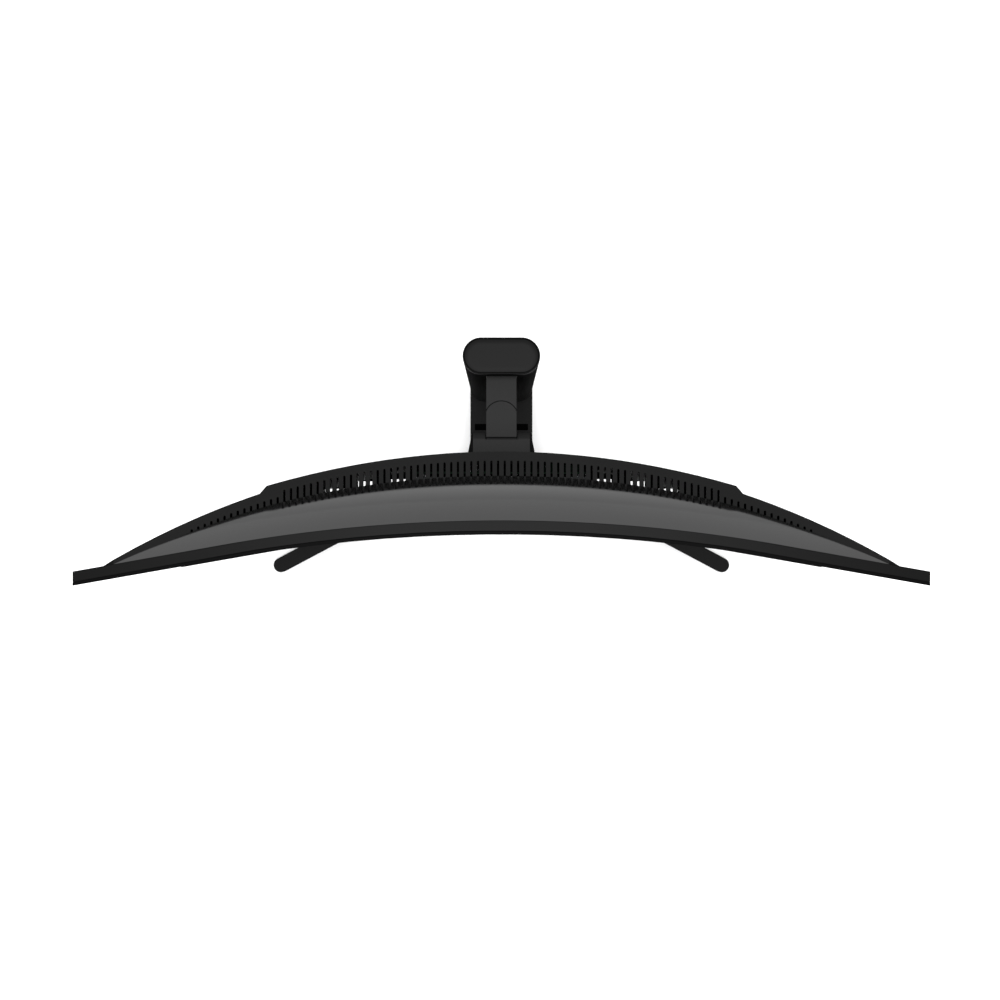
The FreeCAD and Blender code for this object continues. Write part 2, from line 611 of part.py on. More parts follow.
def make_sockets():
    """Downward sockets behind a metal plate in the bottom face."""
    floor, top = PORT_FLOOR, f"({PORT_FLOOR} + 1.2)"
    plate = block(("-99", "-22"), (f"{PORT_Y} - 7", f"{PORT_Y} + 3.4"), (floor, top))
    mouths = []
    for x in HDMI_PLACES:
        mouths.append(block((f"{x} - 7.3", f"{x} + 7.3"), (f"{PORT_Y} - 2.6", f"{PORT_Y} + 2.6"),
                            (f"{floor} - 1", f"{top} + 1")))
    mouths.append(block((f"{DISPLAY_PLACE} - 8.3", f"{DISPLAY_PLACE} + 8.3"),
                        (f"{PORT_Y} - 2.6", f"{PORT_Y} + 2.6"),
                        (f"{floor} - 1", f"{top} + 1")))
    mouths.append(rod("3.2", "4", AUDIO_PLACE, PORT_Y, f"{floor} - 1"))
    keep("socket_plate", cut(plate, *mouths))
    for label, x in zip(("hdmi_socket_outer", "hdmi_socket_inner"), HDMI_PLACES):
        keep(label, flat_socket(x, "7.1", top))
    keep("display_socket", flat_socket(DISPLAY_PLACE, "8.1", top))
    body = block((f"{AUDIO_PLACE} - 4", f"{AUDIO_PLACE} + 4"), (f"{PORT_Y} - 4", f"{PORT_Y} + 4"),
                 (top, f"{top} + 15"))
    keep("audio_socket", cut(body, rod("1.8", "14.5", AUDIO_PLACE, PORT_Y, f"{top} - 0.5")))
    power = block((f"{POWER_PLACE} - 7", f"{POWER_PLACE} + 7"), (f"{PORT_Y} - 6.5", f"{PORT_Y} + 6.5"),
                  (floor, f"{floor} + 14"))
    power_mouth = rod("3.2", "12", POWER_PLACE, PORT_Y, f"{floor} - 1")
    keep("power_socket",
         fuse(cut(power, power_mouth), rod("1.2", "12", POWER_PLACE, PORT_Y, f"{floor} + 0.5")))
    keep("socket_board",
         block(("-99", "48"), (f"{PORT_Y} - 9.3", f"{PORT_Y} - 7.7"),
               (f"{floor} + 1.5", f"{PAN_LOW} + 30")))


def flat_socket(x, half, floor):
    """A flat metal socket, open downwards."""
    shell = block((f"{x} - ({half} + 0.8)", f"{x} + {half} + 0.8"), (f"{PORT_Y} - 3.4", f"{PORT_Y} + 3.4"),
                  (floor, f"{floor} + 12"))
    mouth = block((f"{x} - {half}", f"{x} + {half}"), (f"{PORT_Y} - 2.4", f"{PORT_Y} + 2.4"),
                  (f"{floor} - 1", f"{floor} + 10.5"))
    return cut(shell, mouth)


# ---------------------------------------------------------------- menu joystick
def make_joystick():
    """A tiny stick in a rocking ring, with a cap that presses in."""
    pivot = f"({BELLY} + 7)"
    ring = cut(block(("-4.5", "4.5"), (f"{PORT_Y} - 4.5", f"{PORT_Y} + 4.5"),
                     (f"{pivot} - 2", f"{pivot} + 2")),
               rod("2.4", "6", "0", PORT_Y, f"{pivot} - 3"))
    keep("joystick_ring", ring)
    keep("joystick_stick", rod("1.5", "11", "0", PORT_Y, f"{pivot} - 9"))
    cap = cut(fuse(rod("4.6", "3.5", "0", PORT_Y, f"{BELLY} - 6"),
                   rod("3", "4.5", "0", PORT_Y, f"{BELLY} - 3")),
              rod("1.6", "8", "0", PORT_Y, f"{BELLY} - 3.5"))
    keep("joystick_cap", cap)
    box = cut(block(("-9", "9"), (f"{PORT_Y} - 7", f"{PORT_Y} + 7"), (f"{pivot} - 3", f"{pivot} + 6")),
              block(("-6", "6"), (f"{PORT_Y} - 6", f"{PORT_Y} + 6"), (f"{pivot} - 4", f"{pivot} + 4.5")))
    keep("joystick_housing", box)


# ---------------------------------------------------------------- tilt hinge
CHEEK_GAP = "(arm_width / 2 + 0.9)"


def make_hinge():
    """Head plate, hinge block, neck cover and its release button."""
    head_rear = "(vesa_face + head_plate_depth)"
    keep("head_plate", wide_block("37", ("vesa_face", head_rear), ("tilt_z - 43", "tilt_z + 43")))
    body = fuse(wide_block("block_width / 2", (head_rear, "tilt_y"),
                           ("tilt_z - barrel_radius", "tilt_z + barrel_radius")),
                rod("barrel_radius", "block_width", "-block_width / 2", "tilt_y", "tilt_z", "x"))
    notch = wide_block(CHEEK_GAP, ("tilt_y + 0.9", "tilt_y + 20"), ("tilt_z - 20", "tilt_z + 20"))
    cradle = rod("knuckle_radius + 0.7", f"2 * {CHEEK_GAP}", f"-{CHEEK_GAP}", "tilt_y", "tilt_z", "x")
    bore = rod("shaft_radius + run_gap", "60.6", "-30.3", "tilt_y", "tilt_z", "x")
    keep("hinge_block", cut(body, notch, cradle, bore))
    shell = new_body()
    low = outline(shell, "XY_Plane", neck_outline("35.4", "41.5"), None, "neck_low")
    high = outline(shell, "XY_Plane", neck_outline("33.4", "35"), None, "tilt_z + 8")
    loft = shell.newObject("PartDesign::AdditiveLoft", "loft")
    loft.Profile = low
    loft.Sections = [high]
    loft.Ruled = True
    seat = wide_block("block_width / 2 + 0.1", ("0", "60"), ("tilt_z - barrel_radius - 0.1", "tilt_z + 20"))
    slot = wide_block(CHEEK_GAP, ("tilt_y - 0.5", "60"), ("neck_low - 5", "tilt_z + 20"))
    hollow = wide_block("28", (f"{head_rear} + 4", "tilt_y - 4"), ("neck_low + neck_wall", "tilt_z"))
    button_hole = wide_block("7.3", (f"{head_rear} + 5", f"{head_rear} + 15.6"),
                             ("neck_low - 5", "tilt_z - 20"))
    keep("neck_cover", cut(shell, seat, slot, hollow, button_hole))
    stem = wide_block("7", (f"{head_rear} + 5.3", f"{head_rear} + 15.3"),
                      ("neck_low - 3", "neck_low + neck_wall + 0.3"))
    flange = wide_block("10", (f"{head_rear} + 4.6", f"{head_rear} + 15.8"),
                        ("neck_low + neck_wall + 0.3", "neck_low + neck_wall + 2"))
    keep("release_button", fuse(stem, flange))
    screws = [cap_screw(x, head_rear, z) for x in ("-30", "30") for z in ("tilt_z + 34", "tilt_z - 37")]
    keep("head_screws", group(*screws))


def neck_outline(rear_half, front_half):
    front = "(vesa_face + head_plate_depth)"
    return [(f"-{front_half}", front), (front_half, front), (rear_half, "neck_rear"),
            (f"-{rear_half}", "neck_rear")]


def cap_screw(x, y, z):
    """A round head with a hex socket, facing backwards."""
    head = rod("3.6", "2.6", x, y, z, "y")
    socket = rod("1.6", "2", x, f"{y} + 1.2", z, "y")
    return cut(head, socket)


def make_swivel():
    """Tongue with its knuckle, tilt shaft, stop bar, swivel pin, washers and nut."""
    half = "(arm_width / 2)"
    disc = rod("tongue_radius", "arm_top - swivel_split", "0", "swivel_y", "swivel_split")
    disc_part = common(disc,
                       wide_block(half, ("swivel_y - 30", "swivel_y + 30"),
                                  ("swivel_split - 1", "arm_top + 1")))
    bar = wide_block(half, ("tongue_front", "swivel_y"), ("swivel_split", "arm_top"))
    clearance = rod("barrel_radius + 0.6", "arm_width + 2", f"-({half} + 1)", "tilt_y", "tilt_z", "x")
    web = wide_block(half, ("tilt_y", "tilt_y + 16"), ("tilt_z - 7", "tilt_z + 7"))
    knuckle = rod("knuckle_radius", "arm_width", f"-{half}", "tilt_y", "tilt_z", "x")
    bore = rod("shaft_radius", "arm_width + 2", f"-({half} + 1)", "tilt_y", "tilt_z", "x")
    stop_span, stop_rise = ("tilt_y + 12.5", "swivel_y - swivel_pin - 0.25"), ("tilt_z - 6", "tilt_z + 2")
    stop_hole = wide_block(f"{half} + 5", stop_span, stop_rise)
    pin_hole = rod("swivel_pin", "12", "0", "swivel_y", "swivel_split - 1")
    keep("tongue", cut(fuse(cut(fuse(disc_part, bar), clearance), web, knuckle), bore, stop_hole, pin_hole))
    keep("stop_bar", wide_block("stop_half", stop_span, stop_rise))
    keep("tilt_shaft", rod("shaft_radius", "60", "-30", "tilt_y", "tilt_z", "x"))
    discs = [cut(rod("7", "0.7", x, "tilt_y", "tilt_z", "x"),
                 rod("shaft_radius", "3", f"{x} - 1", "tilt_y", "tilt_z", "x"))
             for x in (f"-{half} - 0.75", f"{half} + 0.05")]
    keep("friction_discs", group(*discs))
    keep("swivel_pin",
         rod("swivel_pin", "swivel_split + 11 - (arm_low - 9)", "0", "swivel_y", "arm_low - 9"))
    keep("swivel_washers",
         group(washer("11", "arm_low - 1.7", "1.5"), washer("9.5", "arm_low - 3.4", "1.5")))
    nut = prism("XY_Plane", [(f"9 * cos({60 * n})", f"swivel_y + 9 * sin({60 * n})") for n in range(6)],
                "arm_low - 8.4", "arm_low - 3.4")
    keep("swivel_nut", cut(nut, rod("swivel_pin", "8", "0", "swivel_y", "arm_low - 10")))


def washer(radius, z, thickness):
    return cut(rod(radius, thickness, "0", "swivel_y", z),
               rod("swivel_pin", f"{thickness} + 2", "0", "swivel_y", f"{z} - 1"))


# ---------------------------------------------------------------- lift
COLUMN_FRONT = "(column_y - column_depth / 2)"
RAIL_REAR = "(column_y + 12)"
CARRIAGE_HALF = "(rail_half - rail_wall - 2.1)"


def stadium(width, depth, low, high):
    """An upright slab with half-round ends, round the middle of the column."""
    radius, reach = f"(({depth}) / 2)", f"((({width}) - ({depth})) / 2)"
    middle = wide_block(reach, (f"column_y - {radius}", f"column_y + {radius}"), (low, high))
    tall = f"({high}) - ({low})"
    return fuse(middle, rod(radius, tall, f"-{reach}", "column_y", low),
                rod(radius, tall, reach, "column_y", low))


def make_lift():
    """Arm, carriage, glides and the rod of the gas spring."""
    half = "(arm_width / 2)"
    arm_end = f"({COLUMN_FRONT} + column_wall + 2)"
    bar = wide_block(half, ("swivel_y", arm_end), ("arm_low", "arm_top"))
    boss = rod(half, "arm_top - arm_low", "0", "swivel_y", "arm_low")
    recess = rod("tongue_radius + 0.6", "arm_top - swivel_split + 2", "0", "swivel_y", "swivel_split - 0.6")
    bore = rod("swivel_pin + run_gap", "60", "0", "swivel_y", "arm_low - 10")
    keep("arm", cut(fuse(bar, boss), recess, bore))
    keep("swivel_bush", cut(rod("15", "0.5", "0", "swivel_y", "swivel_split - 0.6"),
                            rod("swivel_pin + run_gap", "2", "0", "swivel_y", "swivel_split - 1")))
    carriage = wide_block(CARRIAGE_HALF, (arm_end, f"{RAIL_REAR} - rail_wall - 2"),
                          ("arm_low - 8", "arm_top + 4"))
    keep("carriage", cut(carriage, rod("rod_radius", "10", "0", "column_y", "arm_low - 9")))
    glides = []
    for x in (f"-({CARRIAGE_HALF} + 1.8)", CARRIAGE_HALF):
        for z in ("arm_low - 6", "arm_top - 8"):
            glides.append(block((x, f"{x} + 1.8"), (f"column_y - 8", "column_y + 2"), (z, f"{z} + 10")))
    keep("glide_pads", group(*glides))
    shaft_low = "(arm_low - 130)"
    keep("spring_rod", fuse(rod("rod_radius", f"arm_low + 1 - {shaft_low}", "0", "column_y", shaft_low),
                            rod("spring_radius - 1.3", "6", "0", "column_y", shaft_low)))


def make_column():
    """Column shell, cap, foot, rail and the tube of the gas spring."""
    cap_low = "(column_top - cap_height)"
    outer = stadium("column_width", "column_depth", "base_top", cap_low)
    inner = stadium("column_width - 2 * column_wall", "column_depth - 2 * column_wall", "base_top - 1",
                    f"{cap_low} + 1")
    slot = wide_block("arm_width / 2 + 0.6", (f"{COLUMN_FRONT} - 1", f"{COLUMN_FRONT} + column_wall + 2"),
                      ("arm_low - lift_travel - 4", "arm_top + 4"))
    keep("column_shell", cut(outer, inner, slot))
    inset = "(2 * column_wall + fit_gap)"
    cap = fuse(stadium("column_width", "column_depth", cap_low, "column_top"),
               stadium(f"column_width - {inset}", f"column_depth - {inset}", f"{cap_low} - 3", cap_low))
    groove = cut(stadium("column_width - 3.2", "column_depth - 3.2", "column_top - 0.5", "column_top + 1"),
                 stadium("column_width - 4.4", "column_depth - 4.4", "column_top - 1", "column_top + 2"))
    keep("column_cap", cut(cap, groove))
    foot = stadium(f"column_width - {inset}", f"column_depth - {inset}", "base_top", "base_top + 12")
    keep("column_foot", cut(foot, rod("3.05", "11", "0", "column_y", "base_top - 1")))
    rail_low, rail_high = "(base_top + 12)", f"({cap_low} - 4)"
    channel = wide_block("rail_half", ("column_y - 14", RAIL_REAR), (rail_low, rail_high))
    trough = wide_block("rail_half - rail_wall", ("column_y - 20", f"{RAIL_REAR} - rail_wall"),
                        (f"{rail_low} - 1", f"{rail_high} + 1"))
    keep("lift_rail", cut(channel, trough))
    tube_high = "(arm_low - lift_travel - 12)"
    tube = rod("spring_radius", f"{tube_high} - {rail_low}", "0", "column_y", rail_low)
    bore = rod("spring_radius - 1.2", f"{tube_high} - 5 - {rail_low} - 2", "0", "column_y",
               f"{rail_low} + 2")
    guide = rod("rod_radius + run_gap", "10", "0", "column_y", f"{tube_high} - 6")
    keep("spring_tube", cut(tube, bore, guide))


# ---------------------------------------------------------------- base
LEG_LENGTH = "sqrt(leg_reach_x ^ 2 + (leg_apex - leg_reach_y) ^ 2)"
LEG_ANGLE = "atan((leg_apex - leg_reach_y) / leg_reach_x)"


def leg_bar(side, start, low, high, width):
    """A straight bar with a round end along the middle line of one leg."""
    bar = doc.addObject("Part::Box", "bar")
    bind(bar, "Length", f"{LEG_LENGTH} - ({start})")
    bind(bar, "Width", width)
    bind(bar, "Height", f"({high}) - ({low})")
    angle = f"(-{LEG_ANGLE})" if side > 0 else f"(180 deg + {LEG_ANGLE})"
    bar.Placement = Placement(Vector(), Rotation(Vector(0, 0, 1), size(angle)))
    bind(bar, "Placement.Rotation.Angle", angle)
    across = f"(({width}) / 2)"
    place(bar, f"({start}) * cos({angle}) + {across} * sin({angle})",
          f"leg_apex + ({start}) * sin({angle}) - {across} * cos({angle})", low)
    end = rod(across, f"({high}) - ({low})", f"{side} * leg_reach_x", "leg_reach_y", low)
    return bar, end


def make_base():
    """Base plate, two legs, their screws, rubber feet and the hand screw."""
    half = "(column_width / 2)"
    plate = fuse(plate_front("pad_height", "base_top"),
                 stadium("column_width", "column_depth", "pad_height", "base_top"))
    tenon_top = "(pad_height + tenon_height)"
    tenons, legs, screws = [], {}, []
    for side, name in ((-1, "leg_left"), (1, "leg_right")):
        bar, end = leg_bar(side, "0", "pad_height", "base_top", "leg_width")
        stub, stub_end = leg_bar(side, "14", "pad_height", tenon_top, "leg_width - 4")
        tenon = common(fuse(stub, stub_end),
                       wide_block(half, ("-60", "column_y"), ("pad_height", tenon_top)))
        tenons.append(tenon)
        legs[name] = fuse(cut(fuse(bar, end), plate_front("0", "base_top + 1")), tenon)
        for along in ("22", "38"):
            x, y = leg_spot(side, along)
            screws.append(rod("1.6", "tenon_height + 4", x, y, "pad_height"))
    recess = rod("13", "6", "0", "column_y", "pad_height - 0.01")
    hand_bore = rod("3.4", "20", "0", "column_y", "0")
    keep("base_plate", cut(plate, recess, hand_bore, *tenons, *[copy_rod(s) for s in screws]))
    for name, leg in legs.items():
        keep(name, cut(leg, *[copy_rod(s) for s in screws]))
    keep("leg_screws", group(*screws))
    feet = []
    for side in (-1, 1):
        for along in (LEG_LENGTH, "150"):
            x, y = leg_spot(side, along)
            feet.append(rod("7.5", "pad_height", x, y, "0"))
        feet.append(rod("7.5", "pad_height", f"{side} * (column_width / 2 - 16)", "column_y + 8", "0"))
        feet.append(rod("7.5", "pad_height", f"{side} * (column_width / 2 - 12)", "plate_front + 60", "0"))
    keep("rubber_feet", group(*feet))
    head = fuse(rod("11.5", "4", "0", "column_y", "pad_height + 0.8"),
                rod("3", "14", "0", "column_y", "pad_height + 4.8"))
    coin_slot = wide_block("8", ("column_y - 1", "column_y + 1"), ("pad_height", "pad_height + 2.3"))
    keep("hand_screw", cut(head, coin_slot))


def plate_front(low, high):
    """The base plate in front of the column, with its two corners cut off."""
    half = "(column_width / 2)"
    return prism("XY_Plane", [(f"-{half}", "column_y"), (f"-{half}", "plate_front + 8"),
                              (f"-({half} - 9)", "plate_front"), (f"{half} - 9", "plate_front"),
                              (half, "plate_front + 8"), (half, "column_y")], low, high)


def leg_spot(side, along):
    """A point on the middle line of a leg."""
    return f"{side} * (({along}) * cos({LEG_ANGLE}))", f"leg_apex - ({along}) * sin({LEG_ANGLE})"


def copy_rod(source):
    """A second rod bound the same way as the first."""
    twin = doc.addObject("Part::Cylinder", "rod")
    for prop, text in source.ExpressionEngine:
        twin.setExpression(prop, text)
    return twin


# ---------------------------------------------------------------- build, check, write
make_panel_stack()
make_frames()
make_covers()
make_insides()
make_sockets()
make_joystick()
make_hinge()
make_swivel()
make_lift()
make_column()
make_base()
doc.recompute()

faults = [f"{thing.Name} ({thing.Label}): {', '.join(thing.State)}" for thing in doc.Objects
          if {"Invalid", "Error"} & set(thing.State)]
if faults:
    raise RuntimeError("objects that failed: " + "; ".join(faults))
for label, thing in pieces.items():
    if thing.Shape.isNull() or not thing.Shape.isValid() or not thing.Shape.Solids:
        raise RuntimeError(f"{label} has no valid solid")

os.makedirs("parts", exist_ok=True)
for label, thing in pieces.items():
    thing.Shape.exportStep(os.path.join("parts", label + ".step"))
    box = thing.Shape.BoundBox
    print(f"{label:20s} solids {len(thing.Shape.Solids):3d}  volume {thing.Shape.Volume / 1000:9.2f} cm3  "
          f"x {box.XMin:8.2f} {box.XMax:8.2f}  y {box.YMin:8.2f} {box.YMax:8.2f}  "
          f"z {box.ZMin:7.2f} {box.ZMax:7.2f}")
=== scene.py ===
# %% [markdown]
# # A bowed desktop monitor on a lifting stand
#
# The CAD model gives every part its place and its size.  This file gives the parts their finish:
# moulded edges, polished and matt plastic, painted metal, and the small details that a quick
# stand-in lacks.  Each cell explains one step, then does it.

# %% Load the frame
import json
import math

import bmesh
import bpy
from mathutils import Matrix, Vector


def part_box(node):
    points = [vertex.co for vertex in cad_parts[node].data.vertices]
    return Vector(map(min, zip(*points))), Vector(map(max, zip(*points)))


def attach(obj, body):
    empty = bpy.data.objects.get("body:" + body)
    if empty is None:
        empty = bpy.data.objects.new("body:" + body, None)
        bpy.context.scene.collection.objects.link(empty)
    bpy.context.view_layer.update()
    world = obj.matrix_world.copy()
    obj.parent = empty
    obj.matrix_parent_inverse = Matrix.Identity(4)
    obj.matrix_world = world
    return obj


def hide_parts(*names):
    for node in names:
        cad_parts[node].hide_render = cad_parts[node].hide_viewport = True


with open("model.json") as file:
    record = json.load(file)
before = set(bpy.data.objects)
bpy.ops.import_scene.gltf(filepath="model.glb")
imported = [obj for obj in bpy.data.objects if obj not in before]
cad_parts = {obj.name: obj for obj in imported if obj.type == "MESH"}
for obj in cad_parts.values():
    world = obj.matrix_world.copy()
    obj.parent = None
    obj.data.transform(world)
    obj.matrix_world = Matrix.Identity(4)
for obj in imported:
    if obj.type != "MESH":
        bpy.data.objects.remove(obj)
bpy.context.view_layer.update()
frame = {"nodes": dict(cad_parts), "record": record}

# %% [markdown]
# ## Sizes taken from the frame
#
# A part's box says where it is, so most sizes are read from the frame instead of being typed
# again.  The bow of the screen is the one shape that a box can't tell, so its radius is named here.

# %% Sizes of the screen
MM = 0.001
BOW_RADIUS = 1500 * MM
BOW_HALF = 262 * MM
BOW_TURN = math.asin(BOW_HALF / BOW_RADIUS)

frame_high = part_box("front_frame")[1]
rim_low, rim_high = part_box("rim_frame")
SCREEN_HALF = frame_high.x
SCREEN_TOP = rim_high.z
SCREEN_LOW = rim_low.z
STRIP_DEPTH = 3.4 * MM
RIM_DEPTH = 10 * MM
RIM_REAR = STRIP_DEPTH + RIM_DEPTH
FRONT_MIDDLE = frame_high.y - STRIP_DEPTH
print(f"screen {2 * SCREEN_HALF:.3f} m wide, front line at y {FRONT_MIDDLE:.4f}")


def bowed(across, depth):
    """The point at a distance along the front line and a depth behind it, seen from above."""
    radius = BOW_RADIUS + depth
    centre = FRONT_MIDDLE - BOW_RADIUS
    turn = max(-BOW_TURN, min(BOW_TURN, across / BOW_RADIUS))
    spare = across - turn * BOW_RADIUS
    x = radius * math.sin(turn) + spare * math.cos(turn)
    y = centre + radius * math.cos(turn) - spare * math.sin(turn)
    return x, y


# %% [markdown]
# ## A small language for node trees
#
# A finish is a network of nodes, and so is a shape that repeats.  Written out one by one, the nodes
# hide the idea.  So `Wire` wraps a socket and lets plain arithmetic add the Math nodes, and
# everything else comes from one method, `add`: the kind of node, its settings, then its inputs.

# %% Wires and nets
class Wire:
    """One output socket that can be used in arithmetic."""

    def __init__(self, net, socket):
        self.net, self.socket = net, socket

    def maths(self, operation, *values):
        return self.net.add("ShaderNodeMath", {"operation": operation}, dict(enumerate(values)))

    def __add__(self, other): return self.maths("ADD", self, other)
    def __radd__(self, other): return self.maths("ADD", other, self)
    def __sub__(self, other): return self.maths("SUBTRACT", self, other)
    def __rsub__(self, other): return self.maths("SUBTRACT", other, self)
    def __mul__(self, other): return self.maths("MULTIPLY", self, other)
    def __rmul__(self, other): return self.maths("MULTIPLY", other, self)
    def above(self, other): return self.maths("GREATER_THAN", self, other)
    def unsigned(self): return self.maths("ABSOLUTE", self)


class Net:
    """A node tree under construction."""

    def __init__(self, tree):
        self.tree = tree

    def plug(self, socket, value):
        """Links one wire or a list of wires to an input, or sets the input's own value."""
        if isinstance(value, (Wire, list)):
            for wire in value if isinstance(value, list) else [value]:
                self.tree.links.new(wire.socket, socket)
        else:
            socket.default_value = value

    def add(self, kind, settings=None, inputs=None, out=0):
        """Adds a node, its settings first, and returns one of its outputs."""
        node = self.tree.nodes.new(kind)
        for name, value in (settings or {}).items():
            setattr(node, name, value)
        for name, value in (inputs or {}).items():
            self.plug(node.inputs[name], value)
        return Wire(self, node.outputs[out])


class Finish(Net):
    """A material under construction."""

    def __init__(self, name):
        self.material = bpy.data.materials.new(name)
        self.material.use_nodes = True
        super().__init__(self.material.node_tree)
        self.shader = self.tree.nodes["Principled BSDF"]

    def set(self, **inputs):
        """Sets or links sockets of the main shader; an underscore stands for a space."""
        for name, value in inputs.items():
            self.plug(self.shader.inputs[name.replace("_", " ")], value)
        return self.material

    def place(self):
        return self.add("ShaderNodeTexCoord", out="Object")

    def noise(self, scale, detail=2.0, roughness=0.5, stretch=(1, 1, 1)):
        """Cloudy values from 0 to 1, about `scale` lumps to a metre."""
        where = self.add("ShaderNodeMapping", inputs={"Vector": self.place(), "Scale": stretch})
        return self.add("ShaderNodeTexNoise", {"noise_dimensions": "3D"},
                        {"Vector": where, "Scale": scale, "Detail": detail, "Roughness": roughness})

    def blend(self, amount, first, second):
        """Two colours mixed by a number."""
        return self.add("ShaderNodeMix", {"data_type": "RGBA"}, {0: amount, 6: first, 7: second}, out=2)

    def bump(self, height, depth):
        """Relief: a height of 1 stands for that many metres."""
        return self.add("ShaderNodeBump", inputs={"Height": height, "Distance": depth, "Strength": 1.0})


def grey(level, tint=0.0):
    """A neutral colour, a little blue with a positive tint."""
    return (level * (1 - tint), level, level * (1 + tint), 1.0)


print("node helpers ready")

# %% [markdown]
# ## Moulded plastic
#
# Nearly all of the case is black ABS.  Its mould is spark-eroded, which leaves a fine even grain of
# about a third of a millimetre, and the sheen of that grain drifts slowly over a large panel.  Two
# noises make the relief, a third one moves the sheen.  The polished shoulder comes from a mirror
# finished mould: no grain, only the long shallow waves of cooled plastic and a thin haze of dust.

# %% Plastic finishes
def moulded_plastic(name, level, roughness, grain, sheen):
    finish = Finish(name)
    fine, coarse = finish.noise(2600, 2, 0.6), finish.noise(1100, 1)
    drift, speck = finish.noise(9), finish.noise(5200, 1, 0.4)
    shade = finish.blend(drift * 0.5 + speck * 0.5, grey(level * 0.7), grey(level * 1.3))
    return finish.set(Base_Color=shade, Roughness=roughness - 0.08 + drift * 0.08 + fine * 0.08,
                      Normal=finish.bump(fine * 0.65 + coarse * 0.35, grain * MM), Specular_IOR_Level=sheen)


def polished_plastic(name, level, roughness):
    finish = Finish(name)
    waves, haze = finish.noise(28, 1, 0.4), finish.noise(420, 4, 0.65)
    dust = finish.noise(2300, 2, 0.7).above(0.76)
    clean = finish.blend(haze, grey(level * 0.8), grey(level * 1.3))
    shade = finish.blend(dust * 0.12, clean, grey(level * 8))
    return finish.set(Base_Color=shade, Roughness=roughness + haze * 0.03 + dust * 0.1,
                      Normal=finish.bump(waves, 0.04 * MM), Specular_IOR_Level=0.5)


matte_black = moulded_plastic("matt_case_plastic", 0.0024, 0.4, 0.03, 0.0225)
rim_black = moulded_plastic("rim_plastic", 0.0034, 0.4, 0.025, 0.032)
stand_plastic = moulded_plastic("stand_trim_plastic", 0.004, 0.42, 0.03, 0.038)
front_black = moulded_plastic("front_frame_plastic", 0.002, 0.5, 0.015, 0.01)
gloss_black = polished_plastic("polished_plastic", 0.003, 0.13)
print("plastic finishes ready")

# %% [markdown]
# ## Painted and bare metal
#
# The stand is steel and cast aluminium under a powder coat, which flows into a soft orange-peel
# skin with a faint metal flake.  The hinge parts have a smoother wet paint.  Screws and rails are
# bare or blackened steel, with the long fine lines that a die or a brush leaves.  The stop bar, the
# friction discs and the sockets get a near-black painted shadow instead of their own colour, for
# the deep shade in the hinge and behind the port openings.

# %% Metal finishes
def powder_coat(name, level, roughness, peel, flake):
    finish = Finish(name)
    skin, grain, drift = finish.noise(900, 2, 0.55), finish.noise(3800, 1), finish.noise(14)
    shade = finish.blend(grain * 0.5 + drift * 0.5, grey(level * 0.75), grey(level * 1.25))
    return finish.set(Base_Color=shade, Roughness=roughness - 0.06 + skin * 0.08 + drift * 0.06,
                      Normal=finish.bump(skin * 0.75 + grain * 0.25, peel * MM), Metallic=flake,
                      Specular_IOR_Level=0.0, Specular_Tint=(0.0, 0.0, 0.0, 1.0))


def drawn_metal(name, level, roughness, stretch, tint=0.02):
    finish = Finish(name)
    lines, stain = finish.noise(900, 3, 0.6, stretch), finish.noise(60, 3)
    shade = finish.blend(lines * 0.6 + stain * 0.4, grey(level * 0.8, tint), grey(level * 1.15, tint))
    return finish.set(Base_Color=shade, Roughness=roughness + lines * 0.12 + stain * 0.05,
                      Normal=finish.bump(lines, 0.02 * MM), Metallic=1.0)


stand_black = powder_coat("stand_powder_coat", 0.0095, 0.5, 0.03, 0.3)
hinge_black = powder_coat("hinge_paint", 0.0122, 0.42, 0.015, 0.3)
neck_black = powder_coat("neck_cover_paint", 0.004, 0.5, 0.02, 0.2)
# Painted shadow: a near-black coat, not the parts' own colour, for the stop bar and friction discs in the
# hinge gaps and the sockets behind the port openings.
shadow_black = powder_coat("black_oxide", 0.0006, 0.7, 0.02, 0.2)
zinc_steel = drawn_metal("zinc_plated_steel", 0.5, 0.28, (1, 1, 0.08))
black_steel = drawn_metal("blackened_steel", 0.02, 0.38, (1, 1, 0.08))
cast_aluminium = drawn_metal("cast_aluminium", 0.45, 0.45, (1, 1, 1), 0.0)
gold = drawn_metal("gold_plating", 0.6, 0.2, (1, 1, 1), -0.45)
print("metal finishes ready")

# %% [markdown]
# ## Screen glass, rubber, nylon and circuit board
#
# A switched-off panel is a nearly black sheet with a matt film: tiny bumps that blur what it
# reflects.  A border of a few millimetres is darker still, because the black mask there has no
# picture dots behind it.  Rubber is dusty, nylon is milky, and a circuit board shows its copper as
# a relief under dark lacquer.

# %% Other finishes
def panel_glass(name, low, high, border):
    finish = Finish(name)
    where = finish.place()
    across = finish.add("ShaderNodeSeparateXYZ", inputs={"Vector": where}, out="X")
    up = finish.add("ShaderNodeSeparateXYZ", inputs={"Vector": where}, out="Z")
    beside = across.unsigned().above(high.x - border)
    beyond = (up - (low.z + high.z) / 2).unsigned().above((high.z - low.z) / 2 - border)
    film, smear = finish.noise(6000, 1), finish.noise(7, 3)
    shade = finish.blend((1 - beside) * (1 - beyond), grey(0.0015), grey(0.004, 0.2))
    return finish.set(Base_Color=shade, Roughness=0.24 + smear * 0.05 + film * 0.04,
                      Normal=finish.bump(film, 0.005 * MM))


def cloudy(name, dark, light, roughness, relief, lumps):
    """A plain stuff with soft clouds in its colour, sheen and relief."""
    finish = Finish(name)
    cloud = finish.noise(lumps, 4, 0.6)
    return finish.set(Base_Color=finish.blend(cloud, dark, light), Roughness=roughness + cloud * 0.1,
                      Normal=finish.bump(cloud, relief * MM))


